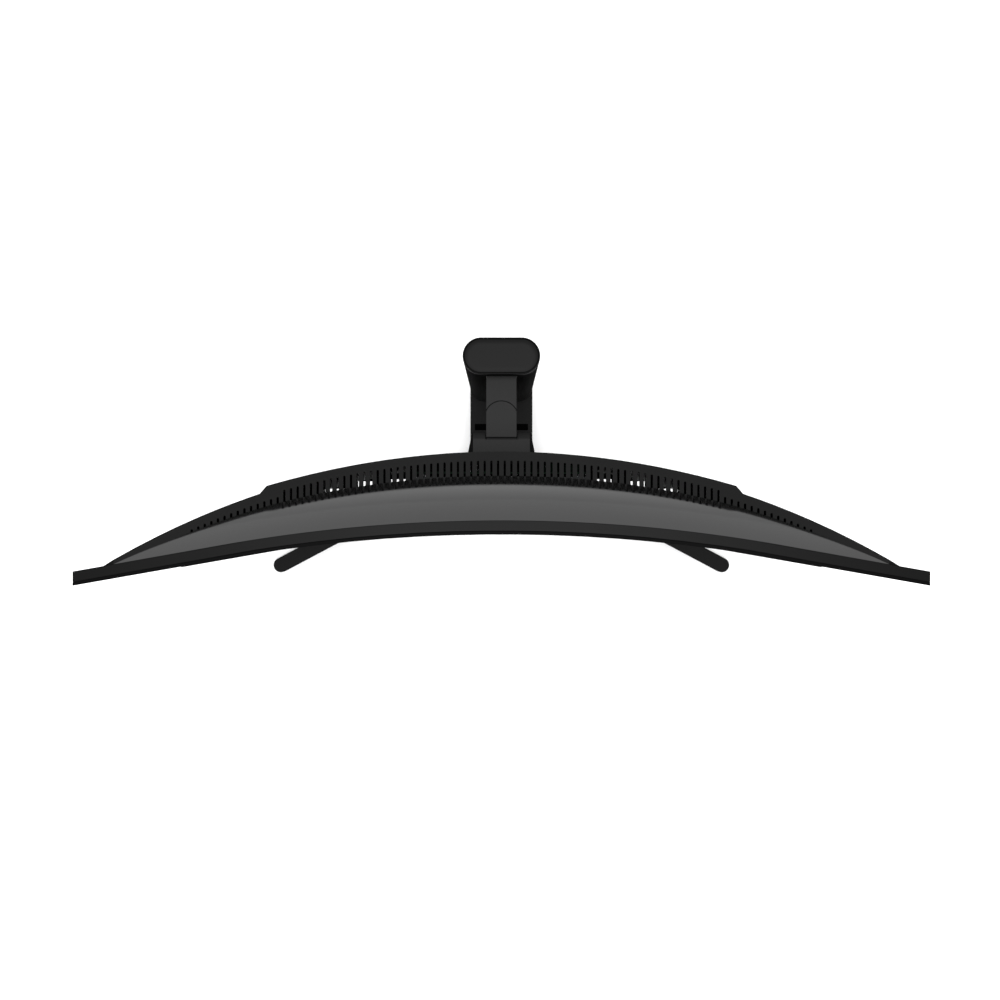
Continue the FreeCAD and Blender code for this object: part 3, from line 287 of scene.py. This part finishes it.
def lacquered_board(name):
    finish = Finish(name)
    tracks = finish.add("ShaderNodeTexVoronoi", {"distance": "CHEBYCHEV"},
                        {"Vector": finish.place(), "Scale": 260.0, "Randomness": 0.35}, out="Distance")
    pads, fine = tracks.above(0.42), finish.noise(1500)
    shade = finish.blend(pads, (0.001, 0.006, 0.003, 1), (0.002, 0.012, 0.005, 1))
    return finish.set(Base_Color=shade, Roughness=0.42 + fine * 0.1, Specular_IOR_Level=0.03,
                      Normal=finish.bump(pads * 0.8 + fine * 0.2, 0.04 * MM))


panel_low, panel_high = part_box("lcd_panel")
screen_glass = panel_glass("panel_glass", panel_low, panel_high, 6 * MM)
rubber = cloudy("foot_rubber", grey(0.006), grey(0.018), 0.8, 0.05, 700)
nylon = cloudy("natural_nylon", (0.62, 0.6, 0.54, 1), (0.75, 0.73, 0.68, 1), 0.42, 0.02, 300)
acrylic = cloudy("frosted_acrylic", grey(0.75), grey(0.88, 0.02), 0.2, 0.02, 350)
board_green = lacquered_board("circuit_board")
print("other finishes ready")

# %% [markdown]
# ## Which finish each part gets
#
# The record names a material slot for every part.  One table from slot to finish is enough, with
# a few parts that differ from their neighbours.

# %% Finish table
FINISHES = {
    "screen_glass": screen_glass, "front_black": front_black, "matte_black": matte_black,
    "gloss_black": gloss_black, "stand_black": stand_black, "hinge_black": hinge_black,
    "stand_plastic": stand_plastic, "steel": zinc_steel, "black_steel": black_steel,
    "acrylic": acrylic, "circuit_board": board_green, "nylon": nylon, "rubber": rubber,
    "cast_aluminium": cast_aluminium,
}
SLOT_OF = {part["node"]: part["material_slot"] for part in frame["record"]["subparts"]}
BODY_OF = {node: body for body, nodes in frame["record"]["behaviour"]["bodies"].items() for node in nodes}
# The stop bar, the friction discs and the sockets take the painted shadow black, which stands in for deep
# shade.
OWN_FINISH = {"rim_frame": rim_black, "chin_strip": rim_black, "stop_bar": shadow_black,
              "neck_cover": neck_black, "friction_discs": shadow_black, "socket_plate": shadow_black,
              "hdmi_socket_outer": shadow_black, "hdmi_socket_inner": shadow_black,
              "display_socket": shadow_black}


def finish_of(node):
    return OWN_FINISH.get(node, FINISHES[SLOT_OF[node]])


for node, part in frame["nodes"].items():
    part.data.materials.clear()
    part.data.materials.append(finish_of(node))
print(len(frame["nodes"]), "parts have a finish")

# %% [markdown]
# ## Moulded and machined edges
#
# No real edge is knife sharp.  A CAD part arrives as loose triangles, so a copy is welded, its
# flat faces are joined again, and each remaining edge gets a small rounding.  The copy then
# stands for the part.  The rounding stays well under the wall, so nothing collapses.

# %% Rounded copies of CAD parts
WELD = 0.002 * MM
FLAT = math.radians(0.6)
EDGE = math.radians(28)


def adopt(piece, node):
    """The piece rides where the part rides and stands for it."""
    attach(piece, BODY_OF[node])
    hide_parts(node)
    return piece


def new_piece(name, mesh, material):
    piece = bpy.data.objects.new(name, mesh)
    bpy.context.scene.collection.objects.link(piece)
    mesh.materials.clear()
    mesh.materials.append(material)
    return piece


def finished(name, work):
    """A mesh from a bmesh, with every face looking outwards."""
    bmesh.ops.recalc_face_normals(work, faces=work.faces)
    mesh = bpy.data.meshes.new(name)
    work.to_mesh(mesh)
    work.free()
    return mesh


def soften(piece, width):
    """Rounds the edges and shades the faces smooth."""
    if width:
        rounding = piece.modifiers.new("rounding", "BEVEL")
        rounding.width, rounding.segments = width, 2
        rounding.limit_method, rounding.angle_limit = "ANGLE", EDGE
        rounding.use_clamp_overlap = True
    for face in piece.data.polygons:
        face.use_smooth = True
    piece.data.set_sharp_from_angle(angle=EDGE)
    if width:
        evening = piece.modifiers.new("flat_faces_stay_flat", "WEIGHTED_NORMAL")
        evening.keep_sharp, evening.weight = True, 100
    return piece


def rounded_copy(node, width):
    """A welded copy of a CAD part with rounded edges."""
    mesh = frame["nodes"][node].data.copy()
    work = bmesh.new()
    work.from_mesh(mesh)
    bmesh.ops.remove_doubles(work, verts=work.verts, dist=WELD)
    bmesh.ops.dissolve_limit(work, angle_limit=FLAT, verts=work.verts, edges=work.edges)
    work.to_mesh(mesh)
    work.free()
    piece = new_piece(node + "_finished", mesh, finish_of(node))
    return adopt(soften(piece, width), node)


ROUNDED = {
    "front_frame": 0.4, "rim_frame": 0.5, "chin_strip": 0.8, "rear_cover": 0.3,
    "vesa_plate": 0.4, "head_plate": 0.5, "hinge_block": 1.0, "neck_cover": 0.8, "release_button": 0.6,
    "tongue": 0.5, "stop_bar": 0.3, "arm": 0.5, "swivel_nut": 0.3, "column_shell": 0.3,
    "base_plate": 0.8, "leg_left": 1.2, "leg_right": 1.2, "hdmi_socket_outer": 0.15,
    "hdmi_socket_inner": 0.15, "display_socket": 0.15, "audio_socket": 0.3, "power_socket": 0.3,
    "socket_plate": 0.2,
}
for node, width in ROUNDED.items():
    piece = rounded_copy(node, width * MM)
    print(f"{piece.name}: {len(piece.data.polygons)} faces before rounding")

# %% [markdown]
# ## The polished shoulder
#
# The shoulder behind the rim is the one mirror-like surface, and a mirror shows every facet.  So
# it is laid out as an even grid instead of using the CAD triangles: columns follow the bow of the
# screen, rows follow the crown of the shoulder, and every column ends exactly where the sagging
# vent face cuts it off.  The vent slots carry on from the vent face into the steep foot of the
# shoulder, so there the columns follow the slots and the cells inside a slot stay open.

# %% Shoulder grid
SHOULDER_RUN = 43.7 * MM
SHOULDER_RADIUS = 150 * MM
COVER_WALL = 2.5 * MM
VENT_SAG_RADIUS = 1120 * MM
VENT_BEND = 262 * MM
VENT_LOWEST = 444 * MM
SHOULDER_DROP = SCREEN_TOP - VENT_LOWEST
UPPER_HALF, ROWS = 366 * MM, 20
SLOT_PITCH, SLOT_CLOSING, SLOT_WIDTH, SLOT_COUNT = 6.655 * MM, 0.041, 2.2 * MM, 94
LONG_SLOTS, SLOT_DEPTH, SLOT_ROW, COLUMN_STEP = 214 * MM, 44 * MM, 15, 3.2 * MM
BELLY_HALF = 372 * MM
LOWER_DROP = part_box("lower_back_cover")[1].z - SCREEN_LOW


def upper_fall(x):
    """How far the vent face lies below the rim: a sagging middle with straight ends."""
    flat = math.sqrt(VENT_SAG_RADIUS ** 2 - min(abs(x), VENT_BEND) ** 2)
    return SHOULDER_DROP - VENT_SAG_RADIUS + flat - max(0.0, abs(x) - VENT_BEND) * VENT_BEND / flat


def lower_fall(x):
    """How far the bottom face lies above the lower rim."""
    radius = (BELLY_HALF ** 2 + LOWER_DROP ** 2) / (2 * LOWER_DROP)
    return LOWER_DROP - radius + math.sqrt(radius ** 2 - x ** 2)


def shoulder_line(across, drop, fall_limit, inset):
    """Points (x, y, fall) of one column of the shoulder, from the rim to the cut."""
    half_chord = math.hypot(SHOULDER_RUN, drop) / 2
    reach = math.sqrt(SHOULDER_RADIUS ** 2 - half_chord ** 2) / (2 * half_chord)
    deep, away = RIM_REAR + SHOULDER_RUN / 2 - drop * reach, drop / 2 + SHOULDER_RUN * reach
    radius, fall = SHOULDER_RADIUS - inset, 0.0
    for _ in range(14):
        depth = deep + math.sqrt(SHOULDER_RADIUS ** 2 - (away - fall) ** 2)
        fall = max(0.0, fall_limit(bowed(across, depth)[0]))
    start = math.acos(min(1.0, (RIM_REAR - deep) / radius))
    end = max(0.0, min(start, math.asin((away - fall) / radius)))
    for row in range(ROWS + 1):
        angle = start + (end - start) * row / ROWS
        yield *bowed(across, deep + radius * math.cos(angle)), away - radius * math.sin(angle)


def slot_edges():
    """Where each long slot of the vent row starts and ends, measured along the front line."""
    stretch = BOW_RADIUS / (BOW_RADIUS + SLOT_DEPTH)
    for number in range(SLOT_COUNT):
        step = number - (SLOT_COUNT - 1) / 2
        x = step * SLOT_PITCH * (1 - SLOT_CLOSING * (2 * step / (SLOT_COUNT - 1)) ** 2)
        if abs(x) < LONG_SLOTS:
            middle = BOW_RADIUS * math.asin(x / (BOW_RADIUS + SLOT_DEPTH))
            yield middle - SLOT_WIDTH / 2 * stretch, middle + SLOT_WIDTH / 2 * stretch


def stations(half, slots):
    """Places of the columns, no more than a step apart, and which cells are slots."""
    marks, places, open_cells = [-half, *(edge for slot in slots for edge in slot), half], [-half], set()
    for number, (start, end) in enumerate(zip(marks, marks[1:])):
        if number % 2:
            open_cells.add(len(places) - 1)
        parts = 1 if number % 2 else math.ceil((end - start) / COLUMN_STEP)
        places += [start + (end - start) * part / parts for part in range(1, parts + 1)]
    return places, open_cells


def wall_between(work, first, second, turned_over=False):
    """One strip of faces between two equally long rows of points."""
    for one in range(len(first) - 1):
        corners = (first[one], first[one + 1], second[one + 1], second[one])
        work.faces.new(corners[::-1] if turned_over else corners)


def shoulder_mesh(name, drop, half, slots, fall_limit, height_of):
    """A walled shoulder; height_of turns a fall from the rim into a height."""
    work, layers = bmesh.new(), []
    places, open_cells = stations(half, slots)
    for inset in (0.0, COVER_WALL):
        layers.append([[work.verts.new((x, y, height_of(fall)))
                        for x, y, fall in shoulder_line(place, drop, fall_limit, inset)]
                       for place in places])
    outer, inner = layers
    for left in range(len(places) - 1):
        right, end = left + 1, SLOT_ROW + 1 if left in open_cells else None
        wall_between(work, outer[left][:end], outer[right][:end], True)
        wall_between(work, inner[left][:end], inner[right][:end])
        for row in (0, SLOT_ROW if end else -1):
            wall_between(work, (outer[left][row], outer[right][row]), (inner[left][row], inner[right][row]))
        for side in (left, right) if end else ():
            wall_between(work, outer[side][SLOT_ROW:], inner[side][SLOT_ROW:])
    for column in (0, -1):
        wall_between(work, outer[column], inner[column])
    bmesh.ops.remove_doubles(work, verts=work.verts, dist=WELD)
    return finished(name, work)


upper = new_piece("upper_back_cover_finished",
                  shoulder_mesh("upper_shoulder", SHOULDER_DROP, UPPER_HALF, list(slot_edges()), upper_fall,
                                lambda fall: SCREEN_TOP - fall),
                  gloss_black)
adopt(soften(upper, 0), "upper_back_cover")
lower = new_piece("lower_back_cover_finished",
                  shoulder_mesh("lower_shoulder", LOWER_DROP, BELLY_HALF, [], lower_fall,
                                lambda fall: SCREEN_LOW + fall),
                  matte_black)
adopt(soften(lower, 0), "lower_back_cover")
print("shoulder falls", round(SHOULDER_DROP, 4), "and", round(LOWER_DROP, 4), "m")

# %% [markdown]
# ## Shapes that follow a path or repeat
#
# Geometry Nodes suit two jobs here.  The panel is one section carried along the bow, and screws,
# feet and contacts are one pattern set down many times.  Each tree is built in the script, gets its
# sizes as named inputs, and is turned into a plain mesh as soon as it has run.

# %% Growing a mesh with nodes
def grown(name, start, material, sizes, build):
    """Runs a node tree on a starting mesh and keeps the plain result."""
    tree = bpy.data.node_groups.new(name, "GeometryNodeTree")
    tree.interface.new_socket("Geometry", in_out="INPUT", socket_type="NodeSocketGeometry")
    tree.interface.new_socket("Geometry", in_out="OUTPUT", socket_type="NodeSocketGeometry")
    places = {}
    for label in sizes:
        entrance = tree.interface.new_socket(label, in_out="INPUT", socket_type="NodeSocketFloat")
        places[label] = entrance.identifier
    net = Net(tree)
    entry, leave = tree.nodes.new("NodeGroupInput"), tree.nodes.new("NodeGroupOutput")
    wires = {socket.name: Wire(net, socket) for socket in entry.outputs if socket.name}
    shape = net.add("GeometryNodeRealizeInstances", inputs={"Geometry": build(net, **wires)})
    painted = net.add("GeometryNodeSetMaterial", inputs={"Geometry": shape, "Material": material})
    net.plug(leave.inputs[0], painted)
    piece = bpy.data.objects.new(name, start)
    bpy.context.scene.collection.objects.link(piece)
    grower = piece.modifiers.new("grower", "NODES")
    grower.node_group = tree
    for label, value in sizes.items():
        grower[places[label]] = value
    mesh = bpy.data.meshes.new_from_object(piece.evaluated_get(bpy.context.evaluated_depsgraph_get()))
    piece.modifiers.remove(grower)
    piece.data = mesh
    return piece


def swept_sheet(net, Geometry, Thickness, Height):
    """Carries an upright rectangle along the starting line."""
    path = net.add("GeometryNodeMeshToCurve", inputs={"Mesh": Geometry})
    path = net.add("GeometryNodeSetCurveNormal", {"mode": "Z_UP"}, {"Curve": path})
    section = net.add("GeometryNodeCurvePrimitiveQuadrilateral", {"mode": "RECTANGLE"},
                      {"Width": Thickness, "Height": Height})
    return net.add("GeometryNodeCurveToMesh",
                   inputs={"Curve": path, "Profile Curve": section, "Fill Caps": True})


def bow_path(name, depth, half, z, steps=120):
    """A line of edges along the bow."""
    mesh = bpy.data.meshes.new(name)
    points = [(*bowed((2 * step / steps - 1) * half, depth), z) for step in range(steps + 1)]
    mesh.from_pydata(points, [(step, step + 1) for step in range(steps)], [])
    return mesh


PANEL_INSET, PANEL_DEPTH = 0.6 * MM, 1.6 * MM
panel_half = BOW_RADIUS * BOW_TURN + (panel_high.x - BOW_HALF) / math.cos(BOW_TURN) - 0.5 * MM
panel_path = bow_path("panel_path", PANEL_INSET + PANEL_DEPTH / 2, panel_half,
                      (panel_low.z + panel_high.z) / 2)
panel = grown("lcd_panel_finished", panel_path, screen_glass,
              {"Thickness": PANEL_DEPTH, "Height": panel_high.z - panel_low.z}, swept_sheet)
adopt(soften(panel, 0.2 * MM), "lcd_panel")
print("panel box", [round(v, 4) for v in panel.dimensions],
      "CAD", [round(v, 4) for v in panel_high - panel_low])

# %% [markdown]
# ## Screws, feet and contacts
#
# A turned part is a profile spun round its axis.  The pattern is spun once, then set down on a
# point for each place.  Real screws never stop at the same angle, so each one gets its own turn
# from a fixed seed.

# %% Turned patterns set down many times
def stacked(name, work, rings):
    """Joins closed rings of equally many points, one above the other, and closes both ends."""
    for first, second in zip(rings, rings[1:]):
        wall_between(work, first + first[:1], second + second[:1])
    work.faces.new(rings[0][::-1])
    work.faces.new(rings[-1])
    return finished(name, work)


def turned(name, profile, steps=48, corners=0, socket=0.0, depth=0.0):
    """Spins a profile of (radius, height) round Z; a socket with corners can be sunk in its top."""
    work = bmesh.new()
    rings = []
    angles = [math.tau * step / steps for step in range(steps)]
    for radius, height in profile:
        rings.append([work.verts.new((radius * math.cos(angle), radius * math.sin(angle), height))
                      for angle in angles])
    if corners:
        top = profile[-1][1]
        for height in (top, top - depth):
            ring = []
            for angle in angles:
                bend = (angle % (math.tau / corners)) - math.pi / corners
                radius = socket * math.cos(math.pi / corners) / math.cos(bend)
                ring.append(work.verts.new((radius * math.cos(angle), radius * math.sin(angle), height)))
            rings.append(ring)
    return stacked(name, work, rings)


def tipped(mesh, turn):
    """Turns a pattern's mesh from Z towards another axis."""
    mesh.transform(turn.to_4x4())
    return mesh


def repeated(name, pattern, places, material, axis, spin=math.pi, seed=7.0):
    """Sets a pattern down on every place, each with its own turn about an axis."""
    model = bpy.data.objects.new(name + "_pattern", pattern)
    start = bpy.data.meshes.new(name + "_places")
    start.from_pydata(places, [], [])

    def scatter(net, Geometry, Spin, Seed):
        shape = net.add("GeometryNodeObjectInfo", inputs={"Object": model}, out="Geometry")
        angle = net.add("FunctionNodeRandomValue", {"data_type": "FLOAT"},
                        {2: Spin * -1, 3: Spin, 8: Seed}, out=1)
        turn = net.add("ShaderNodeCombineXYZ", inputs={axis: angle})
        return net.add("GeometryNodeInstanceOnPoints",
                       inputs={"Points": Geometry, "Instance": shape, "Rotation": turn})

    piece = grown(name, start, material, {"Spin": spin, "Seed": seed}, scatter)
    bpy.data.objects.remove(model)
    return piece


def island_centres(node):
    """The middle of each separate solid of a CAD part."""
    work = bmesh.new()
    work.from_mesh(frame["nodes"][node].data)
    bmesh.ops.remove_doubles(work, verts=work.verts, dist=WELD)
    centres, seen = [], set()
    for first in work.verts:
        if first in seen:
            continue
        group, queue = [], [first]
        seen.add(first)
        while queue:
            vert = queue.pop()
            group.append(vert.co.copy())
            for edge in vert.link_edges:
                other = edge.other_vert(vert)
                if other not in seen:
                    seen.add(other)
                    queue.append(other)
        spans = [(min(c), max(c)) for c in zip(*group)]
        centres.append(tuple((low + high) / 2 for low, high in spans))
    work.free()
    return centres


def millimetres(*pairs):
    return [(radius * MM, height * MM) for radius, height in pairs]


foot_profile = millimetres((1.6, -0.5), (1.9, -0.75), (3.1, -0.75), (3.4, -0.5), (4.2, -0.5), (4.5, -0.75),
                           (6.6, -0.75), (7.2, -0.6), (7.5, -0.2), (7.5, 0.75))
feet = repeated("rubber_feet_finished", turned("foot_pattern", foot_profile), island_centres("rubber_feet"),
                rubber, "Z")
adopt(soften(feet, 0), "rubber_feet")

screw_profile = millimetres((3.1, -1.3), (3.6, -1.0), (3.6, 0.7), (3.35, 1.15), (2.9, 1.3))
screw_pattern = tipped(turned("screw_pattern", screw_profile, 48, 6, 1.75 * MM, 1.7 * MM),
                       Vector((0, 0, 1)).rotation_difference(Vector((0, 1, 0))).to_matrix())
screws = repeated("head_screws_finished", screw_pattern, island_centres("head_screws"), black_steel, "Y")
adopt(soften(screws, 0), "head_screws")
print("feet:", len(feet.data.polygons), "faces, screws:", len(screws.data.polygons), "faces")

# %% [markdown]
# ## Hand screw with a knurled edge
#
# The base is fixed to the column with one large screw that fingers can turn.  Its rim is knurled:
# a roller presses ridges into it.  The tree stands the ridges round the head and joins them to the
# turned body.

# %% Knurled hand screw
screw_low, screw_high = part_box("hand_screw")
screw_x, screw_y = (screw_low.x + screw_high.x) / 2, (screw_low.y + screw_high.y) / 2


def knurled(net, Geometry, Radius, Ridges, Ridge, Low, High, Middle):
    """Stands ridges in a ring and joins them to the starting body."""
    bottom = net.add("ShaderNodeCombineXYZ", inputs={"Z": Low})
    top = net.add("ShaderNodeCombineXYZ", inputs={"Z": High})
    stem = net.add("GeometryNodeCurvePrimitiveLine", {"mode": "POINTS"}, {"Start": bottom, "End": top})
    section = net.add("GeometryNodeCurvePrimitiveCircle", {"mode": "RADIUS"},
                      {"Resolution": 6, "Radius": Ridge})
    ridge = net.add("GeometryNodeCurveToMesh",
                    inputs={"Curve": stem, "Profile Curve": section, "Fill Caps": True})
    ring = net.add("GeometryNodeCurvePrimitiveCircle", {"mode": "RADIUS"},
                   {"Resolution": Ridges, "Radius": Radius})
    posts = net.add("GeometryNodeInstanceOnPoints", inputs={"Points": ring, "Instance": ridge})
    centre = net.add("ShaderNodeCombineXYZ", inputs={"Y": Middle})
    posts = net.add("GeometryNodeTransform", inputs={"Geometry": posts, "Translation": centre})
    return net.add("GeometryNodeJoinGeometry", inputs={"Geometry": [Geometry, posts]})


HEAD_RADIUS, HEAD_TALL, SHANK_RADIUS = 10.9 * MM, 4 * MM, 3 * MM
screw_tall = screw_high.z - screw_low.z
head_profile = [(HEAD_RADIUS - 1.1 * MM, 0), (HEAD_RADIUS - 0.2 * MM, 0.5 * MM), (HEAD_RADIUS, 1 * MM),
                (HEAD_RADIUS, HEAD_TALL - 0.4 * MM), (HEAD_RADIUS - 0.4 * MM, HEAD_TALL)]
shank_profile = [(SHANK_RADIUS, HEAD_TALL), (SHANK_RADIUS, screw_tall - 0.6 * MM),
                 (SHANK_RADIUS - 0.5 * MM, screw_tall)]
body = turned("hand_screw_body", head_profile + shank_profile, 96)
body.transform(Matrix.Translation((screw_x, screw_y, screw_low.z)))
hand_screw = grown("hand_screw_finished", body, black_steel,
                   {"Radius": HEAD_RADIUS, "Ridges": 60, "Ridge": 0.5 * MM, "Low": screw_low.z + 0.7 * MM,
                    "High": screw_low.z + HEAD_TALL - 0.5 * MM, "Middle": screw_y}, knurled)
adopt(soften(hand_screw, 0), "hand_screw")
print("hand screw:", len(hand_screw.data.polygons), "faces")

# %% [markdown]
# ## Column cap
#
# A moulded cap closes the column.  It has a soft outer edge, and a fine groove a little inside it
# that hides the parting line.  The cap is lofted: rings of the same race-track outline, each with
# its own inset and height.

# %% Lofted cap
cap_low, cap_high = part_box("column_cap")
COLUMN_DEPTH = cap_high.y - cap_low.y
COLUMN_REACH = (cap_high.x - cap_low.x - COLUMN_DEPTH) / 2
COLUMN_MIDDLE = (cap_low.y + cap_high.y) / 2


def race_track(inset, z, steps=40):
    """Points round an outline with straight sides and half-round ends."""
    radius = COLUMN_DEPTH / 2 - inset
    for side in (1, -1):
        for step in range(steps + 1):
            angle = side * math.pi / 2 - math.pi * step / steps
            yield (side * COLUMN_REACH + radius * math.cos(angle),
                   COLUMN_MIDDLE + radius * math.sin(angle), z)


def lofted(name, levels):
    """Joins race-track rings given as (inset, height) and closes both ends."""
    work = bmesh.new()
    rings = [[work.verts.new(point) for point in race_track(inset * MM, z)] for inset, z in levels]
    return stacked(name, work, rings)


top = cap_high.z
PLUG = [(2.7, cap_low.z), (2.7, top - 5 * MM), (0.25, top - 5 * MM)]
ROUND_EDGE = [(0, top - 4.7 * MM), (0, top - 1.1 * MM), (0.12, top - 0.65 * MM), (0.4, top - 0.28 * MM),
              (0.8, top - 0.06 * MM), (1.2, top), (1.25, top)]
GROOVE = [(1.75, top - 1.8 * MM), (2.3, top - 0.1 * MM), (2.5, top - 0.01 * MM), (8.0, top - 0.01 * MM)]
cap = new_piece("column_cap_finished", lofted("cap_loft", PLUG + ROUND_EDGE + GROOVE), stand_plastic)
adopt(soften(cap, 0), "column_cap")
print("cap:", len(cap.data.polygons), "faces")

# %% [markdown]
# ## Menu stick
#
# The stick under the lower edge is moved by feel, so its tip is dished and ringed with grooves.

# %% Dished tip of the menu stick
tip_low, tip_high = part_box("joystick_cap")
DISH = [(0.4, 0.9), (1.6, 0.7), (2.6, 0.25), (3.3, 0.0), (3.9, 0.15), (4.35, 0.5), (4.6, 1.0), (4.6, 1.35)]
GRIP = [(4.4, 1.5), (4.6, 1.65), (4.6, 2.0), (4.4, 2.15), (4.6, 2.3), (4.6, 3.2), (4.3, 3.5), (3.0, 3.5)]
SLEEVE = [(3.0, 7.3), (2.8, 7.5), (1.6, 7.5), (1.6, 3.0)]
tip_mesh = turned("stick_tip", millimetres(*DISH, *GRIP, *SLEEVE), 64)
tip_mesh.transform(Matrix.Translation((0, (tip_low.y + tip_high.y) / 2, tip_low.z)))
tip = new_piece("joystick_cap_finished", tip_mesh, stand_plastic)
adopt(soften(tip, 0), "joystick_cap")

# %% [markdown]
# ## Contacts inside the sockets
#
# Each flat socket holds a thin tongue with a row of gold contacts, which is the first thing seen
# when the sockets are looked at from below.  A foam strip closes the gap behind them against dust.

# %% Socket tongues and contacts
def slab(work, low, high, chamfer):
    """A slab with chamfered upright edges."""
    (x0, y0, z0), (x1, y1, z1) = low, high
    outline = [(x0 + chamfer, y0), (x1 - chamfer, y0), (x1, y0 + chamfer), (x1, y1 - chamfer),
               (x1 - chamfer, y1), (x0 + chamfer, y1), (x0, y1 - chamfer), (x0, y0 + chamfer)]
    bottom = [work.verts.new((x, y, z0)) for x, y in outline]
    upper_ring = [work.verts.new((x, y, z1)) for x, y in outline]
    work.faces.new(bottom[::-1])
    work.faces.new(upper_ring)
    wall_between(work, bottom + bottom[:1], upper_ring + upper_ring[:1])


CONTACT_PITCH = 1.2 * MM
tongues, contact_places = bmesh.new(), []
FLAT_SOCKETS = (("hdmi_socket_outer", 5.6, 9), ("hdmi_socket_inner", 5.6, 9), ("display_socket", 6.6, 10))
for node, half, count in FLAT_SOCKETS:
    socket_low, socket_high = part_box(node)
    middle_x, middle_y = (socket_low.x + socket_high.x) / 2, (socket_low.y + socket_high.y) / 2
    slab(tongues, (middle_x - half * MM, middle_y - 0.5 * MM, socket_low.z + 1.5 * MM),
         (middle_x + half * MM, middle_y + 0.5 * MM, socket_low.z + 10.6 * MM), 0.2 * MM)
    for number in range(count):
        along = (number - (count - 1) / 2) * CONTACT_PITCH
        contact_places.append((middle_x + along, middle_y - 0.55 * MM, socket_low.z + 5 * MM))
tongue_piece = new_piece("socket_tongues", finished("socket_tongues", tongues), stand_plastic)
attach(tongue_piece, "display")
plate_low, plate_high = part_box("socket_plate")
gasket = bmesh.new()
slab(gasket, (plate_low.x + 1 * MM, plate_high.y + 0.05 * MM, plate_low.z - 1.5 * MM),
     (plate_high.x - 1 * MM, plate_high.y + 1.9 * MM, plate_high.z), 0.3 * MM)
gasket_piece = new_piece("socket_gasket", finished("socket_gasket", gasket), rubber)
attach(gasket_piece, "display")
contact_work = bmesh.new()
slab(contact_work, (-0.3 * MM, -0.1 * MM, -3.2 * MM), (0.3 * MM, 0.1 * MM, 3.2 * MM), 0.05 * MM)
contacts = repeated("socket_contacts", finished("contact_pattern", contact_work), contact_places, gold,
                    "Z", 0.0)
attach(contacts, "display")
print(len(contact_places), "contacts")

# %% [markdown]
# ## Camera, light and floor
#
# The view is straight down from a metre above the screen.  A black object shows only what it
# reflects, so the light matters more than the colours: a round soft box overhead draws the flat
# tops, and a long low one behind runs along the polished shoulder.

# %% Studio
def soft_box(name, place, target, width, height, power):
    data = bpy.data.lights.new(name, "AREA")
    data.shape = "ELLIPSE" if width == height else "RECTANGLE"
    data.size, data.size_y, data.energy = width, height, power
    light = bpy.data.objects.new(name, data)
    light.location = place
    light.rotation_euler = (Vector(target) - Vector(place)).to_track_quat("-Z", "Y").to_euler()
    bpy.context.scene.collection.objects.link(light)


world = bpy.data.worlds.new("studio")
bpy.context.scene.world = world
world.use_nodes = True
world.node_tree.nodes["Background"].inputs["Color"].default_value = (1, 1, 1, 1)
world.node_tree.nodes["Background"].inputs["Strength"].default_value = 1.0
soft_box("overhead_box", (0, 0, 3.2), (0, 0, 0), 1.8, 1.8, 120)
soft_box("rear_box", (0, 2.6, 0.85), (0, 0, 0.5), 5.0, 1.6, 23)

REACH = 6.0
floor_mesh = bpy.data.meshes.new("floor")
floor_mesh.from_pydata([(-REACH, -REACH, 0), (REACH, -REACH, 0), (REACH, REACH, 0), (-REACH, REACH, 0)], [],
                       [(0, 1, 2, 3)])
floor = new_piece("floor", floor_mesh, cloudy("floor_paper", grey(0.9), grey(0.93), 0.85, 0.02, 40))

camera_data = bpy.data.cameras.new("camera")
camera_data.sensor_width, camera_data.lens = 36.0, 38.04
camera_data.shift_x, camera_data.shift_y = -0.0014, 0.007
camera = bpy.data.objects.new("camera", camera_data)
camera.location = (0.0, -0.04895, SCREEN_TOP + 0.996)
bpy.context.scene.collection.objects.link(camera)
bpy.context.scene.camera = camera
bpy.context.scene.view_settings.view_transform = "Standard"
print("camera at", tuple(round(v, 3) for v in camera.location))
